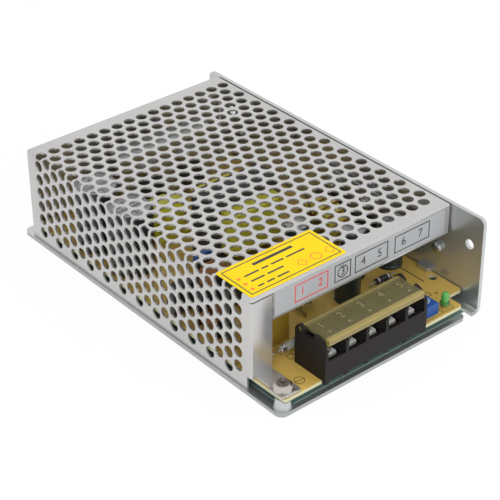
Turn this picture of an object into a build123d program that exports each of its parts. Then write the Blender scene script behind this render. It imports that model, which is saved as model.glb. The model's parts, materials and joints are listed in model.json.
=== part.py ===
from build123d import *
from math import sqrt
import os

# Enclosed switching power supply: a folded sheet tray with one tall wall, a perforated
# folded cover, a circuit board with its components and a barrier terminal block with a
# hinged clear flap. +X points at the tall wall, -Y at the terminals, +Z up. The origin is
# the bottom centre of the whole part. Lengths are millimetres.

# Case
CASE_WIDTH = 98.0
CASE_LENGTH = 157.0
CASE_HEIGHT = 40.5
TERMINAL_OVERHANG = 1.3
CHASSIS_SHEET = 1.5
CHASSIS_FOLD = 3.0
PLATE_CORNER = 3.0
WALL_CORNER = 2.5
TONGUE_CORNER = 2.0
FOLD_STRIP = 4.4
RELIEF_WIDTH = 3.2
RELIEF_DEPTH = 5.0

# Perforated cover
COVER_SHEET = 0.8
COVER_BEND = 1.0
COVER_INSET = 0.8
COVER_WALL_GAP = 0.2
COVER_SEAT_GAP = 0.1
FRONT_LEDGE = 16.2
BACK_LEDGE = 5.7
FASCIA_HEIGHT = 12.3
RIGHT_FLANGE = 10.0
CORNER_FLANGE = 9.3
CORNER_SLIT = 0.5
CORNER_STEP = 2.6
HOLE_PITCH = 6.6
HOLE_RADIUS = 2.7
HOLE_SIDES = 6
HOLE_EDGE = 1.75
HOLE_END_MARGIN = 7.4
HOLE_RIGHT_MARGIN = 5.0
HOLE_BOTTOM_MARGIN = 3.8
FOOT_END = 0.7

# Sticker on the cover
LABEL_WIDTH = 43.4
LABEL_DEPTH = 19.5
LABEL_SHEET = 0.15
LABEL_FRONT = 1.0

# Circuit board
BOARD_SHEET = 1.6
BOARD_SIDE_GAP = 0.4
BOARD_FRONT_GAP = 0.4
BOARD_BACK_GAP = 1.0
BOARD_STEP_WIDTH = 7.6
BOARD_STEP_DEPTH = 7.6
STANDOFF_HEIGHT = 4.0
STANDOFF_FOOT = 3.3
STANDOFF_TIP = 2.7
INSULATOR_SHEET = 0.3
INSULATOR_MARGIN = 2.0
LOCATOR_RADIUS = 1.7
LOCATOR_X = 2.6
LOCATOR_Y = 20.5

# Screws: thread radius, head radius and head height
EARTH_THREAD = 1.9
EARTH_HEAD = 3.5
EARTH_HEAD_RISE = 2.6
WASHER_SIDE = 7.2
WASHER_SHEET = 0.8
SMALL_THREAD = 1.25
SMALL_HEAD = 2.8
SMALL_HEAD_RISE = 1.9
THREAD_GAP = 0.05
CLEARANCE = 0.3
EARTH_INSET_X = 4.4
EARTH_INSET_Y = 4.1
REAR_SCREW_INSET = 6.0
SIDE_SCREW_DROP = 5.0
SIDE_SCREW_SPACING = 90.0
SUNK_HEAD = 2.4
SUNK_DEPTH = 1.1

# Fixing holes in the chassis
SIDE_HOLE_RADIUS = 2.0
SIDE_HOLE_FRONT = 6.2
SIDE_HOLE_RISE = 27.6
SIDE_HOLE_BACK = 14.8
BASE_HOLE_RADIUS = 1.65
BASE_HOLE_ACROSS = 55.0
BASE_HOLE_ALONG = 120.0
INSERT_RADIUS = 2.4
INSERT_REACH = 2.2
INSERT_RISE = 19.3
INSERT_FRONT = 21.3
INSERT_THREAD = 1.25
TAB_RADIUS = 3.4
TAB_REACH = 2.4
TAB_FRONT = 26.9

# Terminal block
POLES = 5
POLE_PITCH = 9.5
POLE_WALL = 1.4
BLOCK_INSET = 17.0
BLOCK_DEPTH = 15.9
BLOCK_FLOOR = 4.4
BLOCK_FRONT_RISE = 8.5
BLOCK_WALL = 1.6
BLOCK_BACK_RISE = 13.0
BLOCK_LEDGE = 14.4
BLOCK_EAR = 17.2
BLOCK_LUG = 16.8
LUG_FRONT = 1.2
LUG_BACK = 6.0
BLOCK_LIP_RISE = 13.9
FOOT_DROP = 1.0
FOOT_WIDTH = 1.8
FLAP_SHEET = 1.4
FLAP_TOP = 16.9
FLAP_LIP = 1.8
FLAP_LIP_DROP = 2.7
FLAP_BARREL = 1.3
FLAP_PIN = 0.8
FLAP_PIN_FIT = 0.06
HINGE_BACK = 2.5
CONTACT_SHEET = 0.8
CONTACT_WIDTH = 6.6
CLAMP_WIDTH = 7.2
CLAMP_DEPTH = 7.2
CLAMP_SHEET = 0.9
CLAMP_LIP = 1.0
CLAMP_FRONT = 4.3
PIN_WIDTH = 1.2
PIN_REACH = 3.2
TERMINAL_THREAD = 1.75
TERMINAL_HEAD = 3.2
TERMINAL_HEAD_RISE = 2.3
TERMINAL_REACH = 6.2

# Trimmer and indicator
TRIMMER_WIDTH = 6.6
TRIMMER_DEPTH = 7.2
TRIMMER_HEIGHT = 4.8
TRIMMER_SHARE = 0.3725
TRIMMER_FRONT = 2.7
ROTOR_RADIUS = 1.7
ROTOR_RISE = 0.4
ROTOR_SEAT = 1.6
ROTOR_FIT = 0.06
LED_RADIUS = 1.5
LED_RIM = 1.9
LED_HEIGHT = 5.2
LED_LEGS = 1.5
LED_SHARE = 0.6373
LED_LEG = 0.5
LED_INSET_Y = 4.0

# Components on the board: sizes and places. Places count from the nearest board edge.
FUSE_RADIUS = 1.8
FUSE_LENGTH = 10.0
FUSE_CAP = 2.4
FUSE_X = 20.5
FUSE_Y = 20.6
LEAD_RADIUS = 0.35
LEAD_REACH = 3.0
FILM_WIDTH = 18.3
FILM_DEPTH = 9.5
FILM_HEIGHT = 17.0
FILM_X = 7.0
FILM_Y = 26.0
DISC_RADIUS = 5.0
DISC_SHEET = 3.6
DISC_LEGS = 1.6
THERMISTOR_X = 42.5
THERMISTOR_Y = 36.95
CHOKE_WIDTH = 17.0
CHOKE_DEPTH = 20.0
CHOKE_HEIGHT = 22.0
CHOKE_LEG = 4.2
CHOKE_LIMB = 5.9
CHOKE_COIL = 5.2
CHOKE_X = 10.0
CHOKE_Y = 47.6
BRIDGE_WIDTH = 15.0
BRIDGE_SHEET = 4.6
BRIDGE_HEIGHT = 11.0
BRIDGE_X = 8.5
BRIDGE_Y = 64.0
BULK_RADIUS = 9.0
BULK_HEIGHT = 26.5
BULK_X = 10.4
BULK_BACK = (49.0, 27.6)
CORE_WIDTH = 33.0
CORE_DEPTH = 13.0
CORE_HEIGHT = 26.5
CORE_YOKE = 4.2
CORE_LIMB = 11.0
CORE_SIDE = 3.8
COIL_DEPTH = 27.0
CORE_X = 4.0
CORE_BEHIND = 12.55
DRIVER_WIDTH = 16.0
DRIVER_DEPTH = 14.0
DRIVER_HEIGHT = 14.0
DRIVER_X = -12.0
DRIVER_BEHIND = 36.55
SINK_WIDTH = 44.0
SINK_SHEET = 1.8
SINK_HEIGHT = 25.0
SINK_FLANGE = 9.0
SINK_X = 6.0
SINK_BACK = 17.0
DEVICE_WIDTH = 10.0
DEVICE_TAB = 1.3
DEVICE_BODY = 4.5
DEVICE_RISE = 3.0
DEVICE_LEG = (0.8, 0.6)
DEVICE_BODY_HEIGHT = 9.2
DEVICE_HEIGHT = 15.6
DEVICE_HOLE = 12.8
DEVICE_SPACING = 20.0
BAR_SHEET = 3.0
BAR_LENGTH = 42.0
BAR_RISE = 5.0
BAR_FLANGE_GAP = 1.4
BAR_Y = 66.0
RING_RADIUS = 10.6
RING_BORE = 5.6
RING_WIDTH = 9.0
WINDING_SHEET = 0.9
WINDING_TURNS = 12
RING_X = 21.0
RING_Y = 61.7
CAN_RADIUS = 5.0
CAN_HEIGHT = 20.5
MIDDLE_CANS = {"a": (9.0, 57.6), "b": (10.6, 31.0)}
RIGHT_CANS = {"c": (8.6, 37.5), "d": (24.6, 41.0)}
CHIP_WIDTH = 6.4
CHIP_LENGTH = 19.4
CHIP_HEIGHT = 3.4
CHIP_X = 34.0
CHIP_Y = 50.0
CHIP_PIN_PITCH = 2.54
CHIP_PIN = 0.5
AXIAL_RADIUS = 1.2
AXIAL_LENGTH = 6.4
RESISTORS = [(30.0, 40.0), (30.0, 44.0), (30.0, 48.0), (47.5, 46.0), (47.5, 50.0), (26.0, 62.0),
             (26.0, 66.0)]
DIODES = [(75.0, 26.8), (48.5, 70.4), (26.0, 70.0), (75.0, 30.2)]
WIRES = [(21.0, 40.0, 10.0), (52.0, 64.0, 4.5), (38.0, 32.0, 7.0)]
SMALL_DISCS = {"a": (28.0, 78.0), "b": (26.0, 56.5)}

# Where the case edges come out
LEFT = -CASE_WIDTH / 2
WALL_OUT = CASE_WIDTH / 2
WALL_IN = WALL_OUT - CHASSIS_SHEET
BACK = (CASE_LENGTH + TERMINAL_OVERHANG) / 2
FRONT = BACK - CASE_LENGTH
COVER_LEFT = LEFT + COVER_INSET
COVER_RIGHT = WALL_IN - COVER_WALL_GAP
COVER_FRONT = FRONT + FRONT_LEDGE
COVER_BACK = BACK - BACK_LEDGE
COVER_BOTTOM = CHASSIS_SHEET + COVER_SEAT_GAP
COVER_UNDER = CASE_HEIGHT - COVER_SHEET
FLANGE_BOTTOM = CASE_HEIGHT - RIGHT_FLANGE
FLANGE_RIGHT = COVER_LEFT + CORNER_FLANGE
BOARD_UNDER = CHASSIS_SHEET + STANDOFF_HEIGHT
BOARD_TOP = BOARD_UNDER + BOARD_SHEET
BOARD_LEFT = COVER_LEFT + COVER_SHEET + BOARD_SIDE_GAP
BOARD_RIGHT = WALL_IN - BOARD_SIDE_GAP
BOARD_FRONT = FRONT + BOARD_FRONT_GAP
BOARD_BACK = COVER_BACK - COVER_SHEET - BOARD_BACK_GAP
BOARD_MIDDLE = (BOARD_FRONT + BOARD_BACK) / 2
BOARD_STEP = BOARD_RIGHT - BOARD_STEP_WIDTH
EARTH_X = LEFT + EARTH_INSET_X
EARTH_Y = FRONT + EARTH_INSET_Y
REAR_Y = BOARD_BACK - REAR_SCREW_INSET
REAR_SCREWS = [(BOARD_LEFT + REAR_SCREW_INSET, REAR_Y), (BOARD_RIGHT - REAR_SCREW_INSET, REAR_Y)]
BLOCK_LEFT = BOARD_LEFT + BLOCK_INSET
BLOCK_WIDTH = POLES * POLE_PITCH + POLE_WALL
BLOCK_RIGHT = BLOCK_LEFT + BLOCK_WIDTH
BLOCK_FRONT = FRONT - TERMINAL_OVERHANG
BLOCK_BACK = BLOCK_FRONT + BLOCK_DEPTH
HINGE_Y = BLOCK_BACK - HINGE_BACK
HINGE_Z = BOARD_TOP + FLAP_TOP - FLAP_BARREL
POLE_CENTRES = [BLOCK_LEFT + POLE_WALL / 2 + POLE_PITCH * (k + 0.5) for k in range(POLES)]
SCREW_Y = BLOCK_FRONT + CLAMP_FRONT + CLAMP_DEPTH / 2
CONTACT_TOP = BOARD_TOP + BLOCK_FLOOR + CONTACT_SHEET
CLAMP_TOP = CONTACT_TOP + THREAD_GAP + CLAMP_LIP + CLAMP_SHEET
FRONT_ROOM = BOARD_STEP - BLOCK_RIGHT - TRIMMER_WIDTH - 2 * LED_RIM
TRIMMER_LEFT = BLOCK_RIGHT + TRIMMER_SHARE * FRONT_ROOM
LED_LEFT = BLOCK_RIGHT + TRIMMER_WIDTH + LED_SHARE * FRONT_ROOM
BAR_BOTTOM = BOARD_TOP + BAR_RISE
BAR_TOP = FLANGE_BOTTOM - BAR_FLANGE_GAP
BAR_LEFT = WALL_IN - BAR_SHEET
BOTTOM_ALIGN = (Align.CENTER, Align.CENTER, Align.MIN)


def span_box(x0, x1, y0, y1, z0, z1):
    """Box between two opposite corners."""
    size = Box(x1 - x0, y1 - y0, z1 - z0)
    return Pos((x0 + x1) / 2, (y0 + y1) / 2, (z0 + z1) / 2) * size


def post(x, y, z, radius, height):
    """Upright cylinder that stands on a point."""
    return Pos(x, y, z) * Cylinder(radius, height, align=BOTTOM_ALIGN)


def rod_x(x0, x1, y, z, radius):
    """Cylinder along X."""
    return Pos((x0 + x1) / 2, y, z) * Rot(0, 90, 0) * Cylinder(radius, x1 - x0)


def rod_y(x, y0, y1, z, radius):
    """Cylinder along Y."""
    return Pos(x, (y0 + y1) / 2, z) * Rot(90, 0, 0) * Cylinder(radius, y1 - y0)


def turned(x, y, z, half_section):
    """Body of revolution about an upright axis from (radius, height) corners."""
    face = make_face(Polyline(half_section + [half_section[0]]))
    return Pos(x, y, z) * revolve(Plane.XZ * face, Axis.Z)


def joined(pieces):
    """Several separate solids kept in one node."""
    return Compound(children=list(pieces))


def pan_screw(x, y, seat, head_radius, head_rise, thread, reach):
    """Pan head screw, head up: domed head with a cross recess over a plain shank."""
    head = post(x, y, seat, head_radius, head_rise)
    top_edge = head.edges().filter_by(GeomType.CIRCLE).sort_by(Axis.Z)[-1]
    head = fillet(top_edge, head_rise * 0.45)
    arm = head_radius * 1.1
    slot = head_radius * 0.22
    for turn in (0, 90):
        recess = Rot(0, 0, turn) * Box(arm, slot, head_rise * 0.9)
        head -= Pos(x, y, seat + head_rise) * recess
    return head + post(x, y, seat - reach, thread, reach)


# Chassis

def standoff(x, y, thread):
    """Spacer pressed up from the plate, tapped through."""
    body = Pos(x, y, CHASSIS_SHEET) * Cone(STANDOFF_FOOT, STANDOFF_TIP, STANDOFF_HEIGHT, align=BOTTOM_ALIGN)
    return body, post(x, y, -1, thread, BOARD_UNDER + 2)


def chassis_fold():
    """Plate and tall wall as one folded strip, before its outline is trimmed."""
    outside = Pos(0, CASE_HEIGHT / 2) * Rectangle(CASE_WIDTH, CASE_HEIGHT)
    corner = outside.vertices().group_by(Axis.Y)[0].sort_by(Axis.X)[-1]
    outside = fillet(corner, CHASSIS_FOLD)
    inside = Pos(-CHASSIS_SHEET, CASE_HEIGHT / 2 + CHASSIS_SHEET) * Rectangle(CASE_WIDTH, CASE_HEIGHT)
    corner = inside.vertices().group_by(Axis.Y)[0].sort_by(Axis.X)[-1]
    inside = fillet(corner, CHASSIS_FOLD - CHASSIS_SHEET)
    section = Plane.XZ * (outside - inside)
    return Pos(0, (FRONT + BACK) / 2, 0) * extrude(section, CASE_LENGTH / 2, both=True)


def relief_cut(y_end, inward):
    """Round-ended notch that frees the fold from the plate at one end."""
    x0 = WALL_OUT - FOLD_STRIP - RELIEF_WIDTH
    x1 = WALL_OUT - FOLD_STRIP
    tip = y_end + inward * (RELIEF_DEPTH - RELIEF_WIDTH / 2)
    slot = span_box(x0, x1, min(y_end - inward, tip), max(y_end - inward, tip), -1, CHASSIS_FOLD)
    return slot + post((x0 + x1) / 2, tip, -1, RELIEF_WIDTH / 2, CHASSIS_FOLD + 1)


def board_tab():
    """Half-round tab lanced out of the wall, over the edge of the board."""
    z0 = BOARD_TOP + COVER_SEAT_GAP
    y = FRONT + TAB_FRONT
    disc = Pos(WALL_IN, y, z0) * Cylinder(TAB_RADIUS, CHASSIS_SHEET, align=BOTTOM_ALIGN)
    limit = span_box(WALL_IN - TAB_REACH, WALL_IN, y - TAB_RADIUS, y + TAB_RADIUS, z0, z0 + CHASSIS_SHEET)
    window = rod_x(WALL_IN - 0.5, WALL_OUT + 1, y, z0, TAB_REACH)
    window &= span_box(WALL_IN - 0.5, WALL_OUT + 1, y - TAB_RADIUS, y + TAB_RADIUS, z0 - TAB_REACH, z0)
    return disc & limit, window


def make_chassis():
    """Folded tray with its wall, spacers, board tab and every hole."""
    body = chassis_fold()
    left_edges = body.edges().filter_by(Axis.Z).sort_by(Axis.X)[:2]
    body = fillet(left_edges, PLATE_CORNER)
    wall_edges = body.edges().filter_by(Axis.X).group_by(Axis.Z)[-1]
    body = fillet(wall_edges, WALL_CORNER)
    for y_end, inward in ((FRONT, 1), (BACK, -1)):
        body -= relief_cut(y_end, inward)
    tongue = body.edges().filter_by(Axis.Z).filter_by_position(
        Axis.X, WALL_OUT - FOLD_STRIP - RELIEF_WIDTH - 0.1, WALL_OUT - FOLD_STRIP - RELIEF_WIDTH + 0.1)
    tongue = [e for e in tongue if abs(abs(e.center().Y - (FRONT + BACK) / 2) - CASE_LENGTH / 2) < 0.1]
    body = fillet(tongue, TONGUE_CORNER)
    for x, y, thread in [(EARTH_X, EARTH_Y, EARTH_THREAD)] + [(x, y, SMALL_THREAD) for x, y in REAR_SCREWS]:
        boss, bore = standoff(x, y, thread + THREAD_GAP)
        body = body + boss - bore
    tab, window = board_tab()
    body = body + tab - window
    for y in (FRONT + SIDE_HOLE_FRONT, BACK - SIDE_HOLE_BACK):
        body -= rod_x(WALL_IN - 1, WALL_OUT + 1, y, SIDE_HOLE_RISE, SIDE_HOLE_RADIUS)
    for y in side_insert_rows():
        body -= rod_x(WALL_IN - 1, WALL_OUT + 1, y, INSERT_RISE, INSERT_RADIUS)
    for y, z in wall_screw_places():
        body -= Pos(WALL_OUT, y, z) * Rot(0, 90, 0) * sunk_screw(THREAD_GAP)
    for x, y in base_holes():
        body -= post(x, y, -1, BASE_HOLE_RADIUS, CHASSIS_SHEET + 2)
    return body


def side_insert_rows():
    """Front and back places of the two threaded inserts in the wall."""
    middle = (FRONT + BACK) / 2
    reach = CASE_LENGTH / 2 - INSERT_FRONT
    return [middle - reach, middle + reach]


def side_screw_rows():
    """Front and back places of the two screws through the wall into the cover."""
    middle = (COVER_FRONT + COVER_BACK) / 2
    return [middle - SIDE_SCREW_SPACING / 2, middle + SIDE_SCREW_SPACING / 2]


def wall_screw_places():
    """(y, z) of each screw through the wall: two into the cover, the last into the heat bar."""
    places = [(y, CASE_HEIGHT - SIDE_SCREW_DROP) for y in side_screw_rows()]
    return places + [(board_y(BAR_Y), (BAR_BOTTOM + BAR_TOP) / 2)]


def sunk_screw(gap):
    """Countersunk screw, head up and flush with the ground plane, or its hole when a gap is given."""
    reach = CHASSIS_SHEET + COVER_WALL_GAP + 2 * COVER_SHEET
    head = Pos(0, 0, -SUNK_DEPTH) * Cone(SMALL_THREAD + gap, SUNK_HEAD + gap, SUNK_DEPTH, align=BOTTOM_ALIGN)
    return head + post(0, 0, -reach - gap, SMALL_THREAD + gap, reach + gap)


def base_holes():
    """Corners of the fixing pattern in the plate."""
    middle = (FRONT + BACK) / 2
    xs = (-BASE_HOLE_ACROSS / 2, BASE_HOLE_ACROSS / 2)
    ys = (middle - BASE_HOLE_ALONG / 2, middle + BASE_HOLE_ALONG / 2)
    return [(x, y) for x in xs for y in ys]


def make_side_inserts():
    """Closed threaded inserts pressed into the wall, dome inward."""
    inserts = []
    for y in side_insert_rows():
        body = rod_x(WALL_IN - INSERT_REACH, WALL_OUT, y, INSERT_RISE, INSERT_RADIUS - THREAD_GAP)
        dome_edge = body.edges().filter_by(GeomType.CIRCLE).sort_by(Axis.X)[0]
        body = fillet(dome_edge, INSERT_RADIUS * 0.6)
        depth = CHASSIS_SHEET + INSERT_REACH - COVER_SHEET
        inserts.append(body - rod_x(WALL_OUT - depth, WALL_OUT + 1, y, INSERT_RISE, INSERT_THREAD))
    return joined(inserts)


# Cover

def hole_rows():
    """Y of each perforation row, centred between the ends of the cover."""
    step = HOLE_PITCH * sqrt(3) / 2
    span = COVER_BACK - COVER_FRONT - 2 * HOLE_END_MARGIN
    count = int(span / step) + 1
    start = (COVER_FRONT + COVER_BACK) / 2 - (count - 1) * step / 2
    return [(start + r * step, r % 2) for r in range(count)]


def hole_places():
    """Perforation centres: (x, y) on the top and (y, z) on the left side."""
    top = []
    side = []
    for y, odd in hole_rows():
        across = HOLE_EDGE if odd else HOLE_EDGE - HOLE_PITCH / 2
        while across < COVER_RIGHT - COVER_LEFT - HOLE_RIGHT_MARGIN:
            if across > 0:
                top.append((COVER_LEFT + across, y))
            across += HOLE_PITCH
        down = HOLE_PITCH - HOLE_EDGE if odd else HOLE_PITCH / 2 - HOLE_EDGE
        while down < CASE_HEIGHT - COVER_BOTTOM - HOLE_BOTTOM_MARGIN:
            side.append((y, CASE_HEIGHT - down))
            down += HOLE_PITCH
    return top, side


def perforations():
    """Every hole of the cover as a short prism through its sheet."""
    top, side = hole_places()
    cell = RegularPolygon(HOLE_RADIUS, HOLE_SIDES, rotation=90 - 180 / HOLE_SIDES)
    depth = COVER_SHEET + 2 * COVER_BEND
    plates = Sketch() + [Pos(x, y) * cell for x, y in top]
    down = extrude(Plane.XY.offset(CASE_HEIGHT - COVER_SHEET - 0.5) * plates, depth)
    wall = Plane(origin=(COVER_LEFT + COVER_SHEET + 0.5, 0, 0), x_dir=(0, 1, 0), z_dir=(-1, 0, 0))
    holes = Sketch() + [Pos(y, -z) * Rot(0, 0, 90) * cell for y, z in side]
    return down, extrude(wall * holes, depth)


def cover_shell():
    """Five-sided folded box before its outline is cut."""
    block = span_box(COVER_LEFT, COVER_RIGHT, COVER_FRONT, COVER_BACK, COVER_BOTTOM, CASE_HEIGHT)
    bends = block.edges().filter_by(Axis.Z) + block.edges().group_by(Axis.Z)[-1]
    block = fillet(bends, COVER_BEND)
    hollow = span_box(COVER_LEFT + COVER_SHEET, COVER_RIGHT - COVER_SHEET, COVER_FRONT + COVER_SHEET,
                      COVER_BACK - COVER_SHEET, COVER_BOTTOM - 1, COVER_UNDER)
    return block - hollow


def cover_cuts():
    """What is cut from the folded box: open front and right side, slits and the corner step."""
    fascia_bottom = CASE_HEIGHT - FASCIA_HEIGHT
    front_in = COVER_FRONT + COVER_SHEET
    slit_top = CASE_HEIGHT - COVER_BEND - 0.3
    slit_x = FLANGE_RIGHT + CORNER_SLIT
    back_slit = COVER_LEFT + COVER_BEND
    return [
        span_box(slit_x, COVER_RIGHT + 1, COVER_FRONT - 1, front_in, 0, fascia_bottom),
        span_box(COVER_RIGHT - COVER_SHEET, COVER_RIGHT + 1, COVER_FRONT - 1, COVER_BACK - COVER_SHEET,
                 0, FLANGE_BOTTOM),
        span_box(FLANGE_RIGHT, slit_x, COVER_FRONT - 1, front_in, 0, slit_top),
        span_box(COVER_LEFT - 1, slit_x, COVER_FRONT - 1, COVER_FRONT + COVER_BEND,
                 slit_top - CORNER_SLIT, slit_top),
        span_box(COVER_LEFT - 1, FLANGE_RIGHT + 1, COVER_FRONT - 1, COVER_FRONT + CORNER_STEP, 0, BOARD_TOP),
        span_box(back_slit, back_slit + CORNER_SLIT, COVER_BACK - COVER_SHEET, COVER_BACK + 1, 0, slit_top),
        span_box(WALL_OUT - CHASSIS_FOLD, COVER_RIGHT + 1, COVER_BACK - COVER_SHEET, COVER_BACK + 1,
                 0, CHASSIS_FOLD),
    ]


def cover_foot():
    """Foot turned out from the corner flange, under the earth screw."""
    left = COVER_LEFT + COVER_SHEET + 2 * BOARD_SIDE_GAP
    top = BOARD_TOP + COVER_SHEET
    foot = span_box(left, FLANGE_RIGHT, FRONT + FOOT_END, COVER_FRONT + COVER_SHEET, BOARD_TOP, top)
    ends = foot.edges().filter_by(Axis.Z).group_by(Axis.Y)[0]
    foot = fillet(ends, COVER_BEND)
    return foot - post(EARTH_X, EARTH_Y, BOARD_TOP - 1, EARTH_THREAD + CLEARANCE, COVER_SHEET + 2)


def make_cover():
    """Perforated cover folded from one sheet."""
    body = cover_shell()
    for cut in cover_cuts():
        body -= cut
    body += cover_foot()
    for y in side_screw_rows():
        z = CASE_HEIGHT - SIDE_SCREW_DROP
        body -= rod_x(COVER_RIGHT - COVER_SHEET - 1, COVER_RIGHT + 1, y, z, SMALL_THREAD + THREAD_GAP)
    for prisms in perforations():
        body -= prisms
    return body


def make_label():
    """Sticker at the front left corner of the top."""
    x0 = COVER_LEFT + COVER_BEND
    y0 = COVER_FRONT + LABEL_FRONT
    return span_box(x0, x0 + LABEL_WIDTH, y0, y0 + LABEL_DEPTH, CASE_HEIGHT, CASE_HEIGHT + LABEL_SHEET)


# Board, sheet and fasteners

def make_circuit_board():
    """Board with its stepped corner, screw holes, locating hole and terminal pin slots."""
    board = span_box(BOARD_LEFT, BOARD_RIGHT, BOARD_FRONT, BOARD_BACK, BOARD_UNDER, BOARD_TOP)
    board -= span_box(BOARD_STEP, BOARD_RIGHT + 1, BOARD_FRONT - 1,
                      BOARD_FRONT + BOARD_STEP_DEPTH, 0, BOARD_TOP + 1)
    corners = board.edges().filter_by(Axis.Z)
    board = fillet(corners, COVER_BEND)
    depth = BOARD_SHEET + 2
    z0 = BOARD_UNDER - 1
    board -= post(EARTH_X, EARTH_Y, z0, EARTH_THREAD + CLEARANCE, depth)
    for x, y in REAR_SCREWS:
        board -= post(x, y, z0, SMALL_THREAD + CLEARANCE, depth)
    board -= post(BOARD_RIGHT - LOCATOR_X, FRONT + LOCATOR_Y, z0, LOCATOR_RADIUS, depth)
    for x in POLE_CENTRES:
        board -= contact_pin(x, THREAD_GAP, z0, BOARD_TOP + 1)
    return board


def make_insulating_sheet():
    """Thin sheet on the plate under the board, cleared round the spacers and fixing holes."""
    z1 = CHASSIS_SHEET + INSULATOR_SHEET
    sheet = span_box(BOARD_LEFT + INSULATOR_MARGIN, BOARD_RIGHT - FOLD_STRIP,
                     BOARD_FRONT + INSULATOR_MARGIN, BOARD_BACK - INSULATOR_MARGIN, CHASSIS_SHEET, z1)
    for x, y in [(EARTH_X, EARTH_Y)] + REAR_SCREWS:
        sheet -= post(x, y, 0, STANDOFF_FOOT + CLEARANCE, z1 + 1)
    for x, y in base_holes():
        sheet -= post(x, y, 0, BASE_HOLE_RADIUS * 2, z1 + 1)
    return sheet


def make_earth_screw():
    """Screw through washer, cover foot and board into the corner spacer."""
    seat = BOARD_TOP + COVER_SHEET + WASHER_SHEET
    reach = seat - CHASSIS_SHEET
    return pan_screw(EARTH_X, EARTH_Y, seat, EARTH_HEAD, EARTH_HEAD_RISE, EARTH_THREAD, reach)


def make_square_washer():
    """Square spring washer under the earth screw."""
    z0 = BOARD_TOP + COVER_SHEET
    plate = Pos(EARTH_X, EARTH_Y, z0) * Box(WASHER_SIDE, WASHER_SIDE, WASHER_SHEET, align=BOTTOM_ALIGN)
    plate = fillet(plate.edges().filter_by(Axis.Z), WASHER_SHEET)
    return plate - post(EARTH_X, EARTH_Y, z0 - 1, EARTH_THREAD + THREAD_GAP, WASHER_SHEET + 2)


def make_board_screws():
    """The two rear board screws."""
    reach = BOARD_TOP - CHASSIS_SHEET
    return joined(pan_screw(x, y, BOARD_TOP, SMALL_HEAD, SMALL_HEAD_RISE, SMALL_THREAD, reach)
                  for x, y in REAR_SCREWS)


def make_wall_screws():
    """Countersunk screws from outside, flush with the wall's mounting face."""
    screw = sunk_screw(0)
    for turn in (0, 90):
        screw -= Rot(0, 0, turn) * Box(SUNK_HEAD * 1.2, SUNK_HEAD * 0.25, SUNK_DEPTH)
    return joined(Pos(WALL_OUT, y, z) * Rot(0, 90, 0) * screw for y, z in wall_screw_places())


# Terminal block

def block_point(depth, rise):
    """Point of the block's side profile: depth behind its front, rise above the board."""
    return (BLOCK_FRONT + depth, BOARD_TOP + rise)


def end_plate_profile():
    """Side outline of an end plate: front lug, ledge and hinge ear."""
    ear = FLAP_BARREL + 1.2
    ear_y = BLOCK_DEPTH - HINGE_BACK
    with BuildLine(Plane.YZ) as outline:
        Polyline(block_point(LUG_FRONT, BLOCK_LIP_RISE), block_point(0, BLOCK_LIP_RISE - LUG_FRONT),
                 block_point(0, 0),
                 block_point(BLOCK_DEPTH, 0), block_point(BLOCK_DEPTH, BLOCK_EAR - ear))
        ThreePointArc(block_point(BLOCK_DEPTH, BLOCK_EAR - ear),
                      block_point(ear_y + ear * 0.5, BLOCK_EAR - ear * 0.2),
                      block_point(ear_y, BLOCK_EAR))
        Polyline(block_point(ear_y, BLOCK_EAR), block_point(ear_y - ear, BLOCK_EAR - ear * 0.4),
                 block_point(ear_y - ear, BLOCK_LEDGE), block_point(LUG_BACK + 0.4, BLOCK_LEDGE),
                 block_point(LUG_BACK, BLOCK_LUG))
        ThreePointArc(block_point(LUG_BACK, BLOCK_LUG), block_point(LUG_BACK / 2, BLOCK_LUG - 0.9),
                      block_point(LUG_FRONT, BLOCK_LIP_RISE))
    return make_face(outline.line)


def rib_profile():
    """Side outline of a partition: low under the flap's lip, higher behind it."""
    low = BLOCK_LIP_RISE - CLEARANCE
    high = FLAP_TOP - FLAP_SHEET - CLEARANCE
    back = BLOCK_DEPTH - HINGE_BACK - FLAP_BARREL - CLEARANCE
    points = [(0, 0), (0, low), (FLAP_LIP + 0.8, low), (FLAP_LIP + 1.6, high), (back, high),
              (back, BLOCK_BACK_RISE), (BLOCK_DEPTH, BLOCK_BACK_RISE), (BLOCK_DEPTH, 0)]
    spots = [block_point(a, b) for a, b in points]
    with BuildLine(Plane.YZ) as outline:
        Polyline(spots + [spots[0]])
    return make_face(outline.line)


def trough_profile():
    """Side outline of the base between partitions: front wall, floor and back wall."""
    inner_back = BLOCK_DEPTH - BLOCK_WALL
    points = [(0, 0), (0, BLOCK_FRONT_RISE), (BLOCK_WALL, BLOCK_FRONT_RISE), (BLOCK_WALL + 0.6, BLOCK_FLOOR),
              (inner_back, BLOCK_FLOOR), (inner_back, BLOCK_BACK_RISE), (BLOCK_DEPTH, BLOCK_BACK_RISE),
              (BLOCK_DEPTH, 0)]
    spots = [block_point(a, b) for a, b in points]
    with BuildLine(Plane.YZ) as outline:
        Polyline(spots + [spots[0]])
    return make_face(outline.line)


def slab_x(face, x0, x1):
    """Profile in the YZ plane thickened between two X places."""
    return extrude(Pos(x0, 0, 0) * face, x1 - x0, dir=(1, 0, 0))


def contact_pin(x, gap, z0, z1):
    """Solder pin of a contact bar, or its slot when a gap is given."""
    y = BLOCK_BACK - BLOCK_WALL - PIN_WIDTH
    half = PIN_WIDTH / 2 + gap
    return span_box(x - half, x + half, y - CONTACT_SHEET - gap, y + gap, z0, z1)


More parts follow.
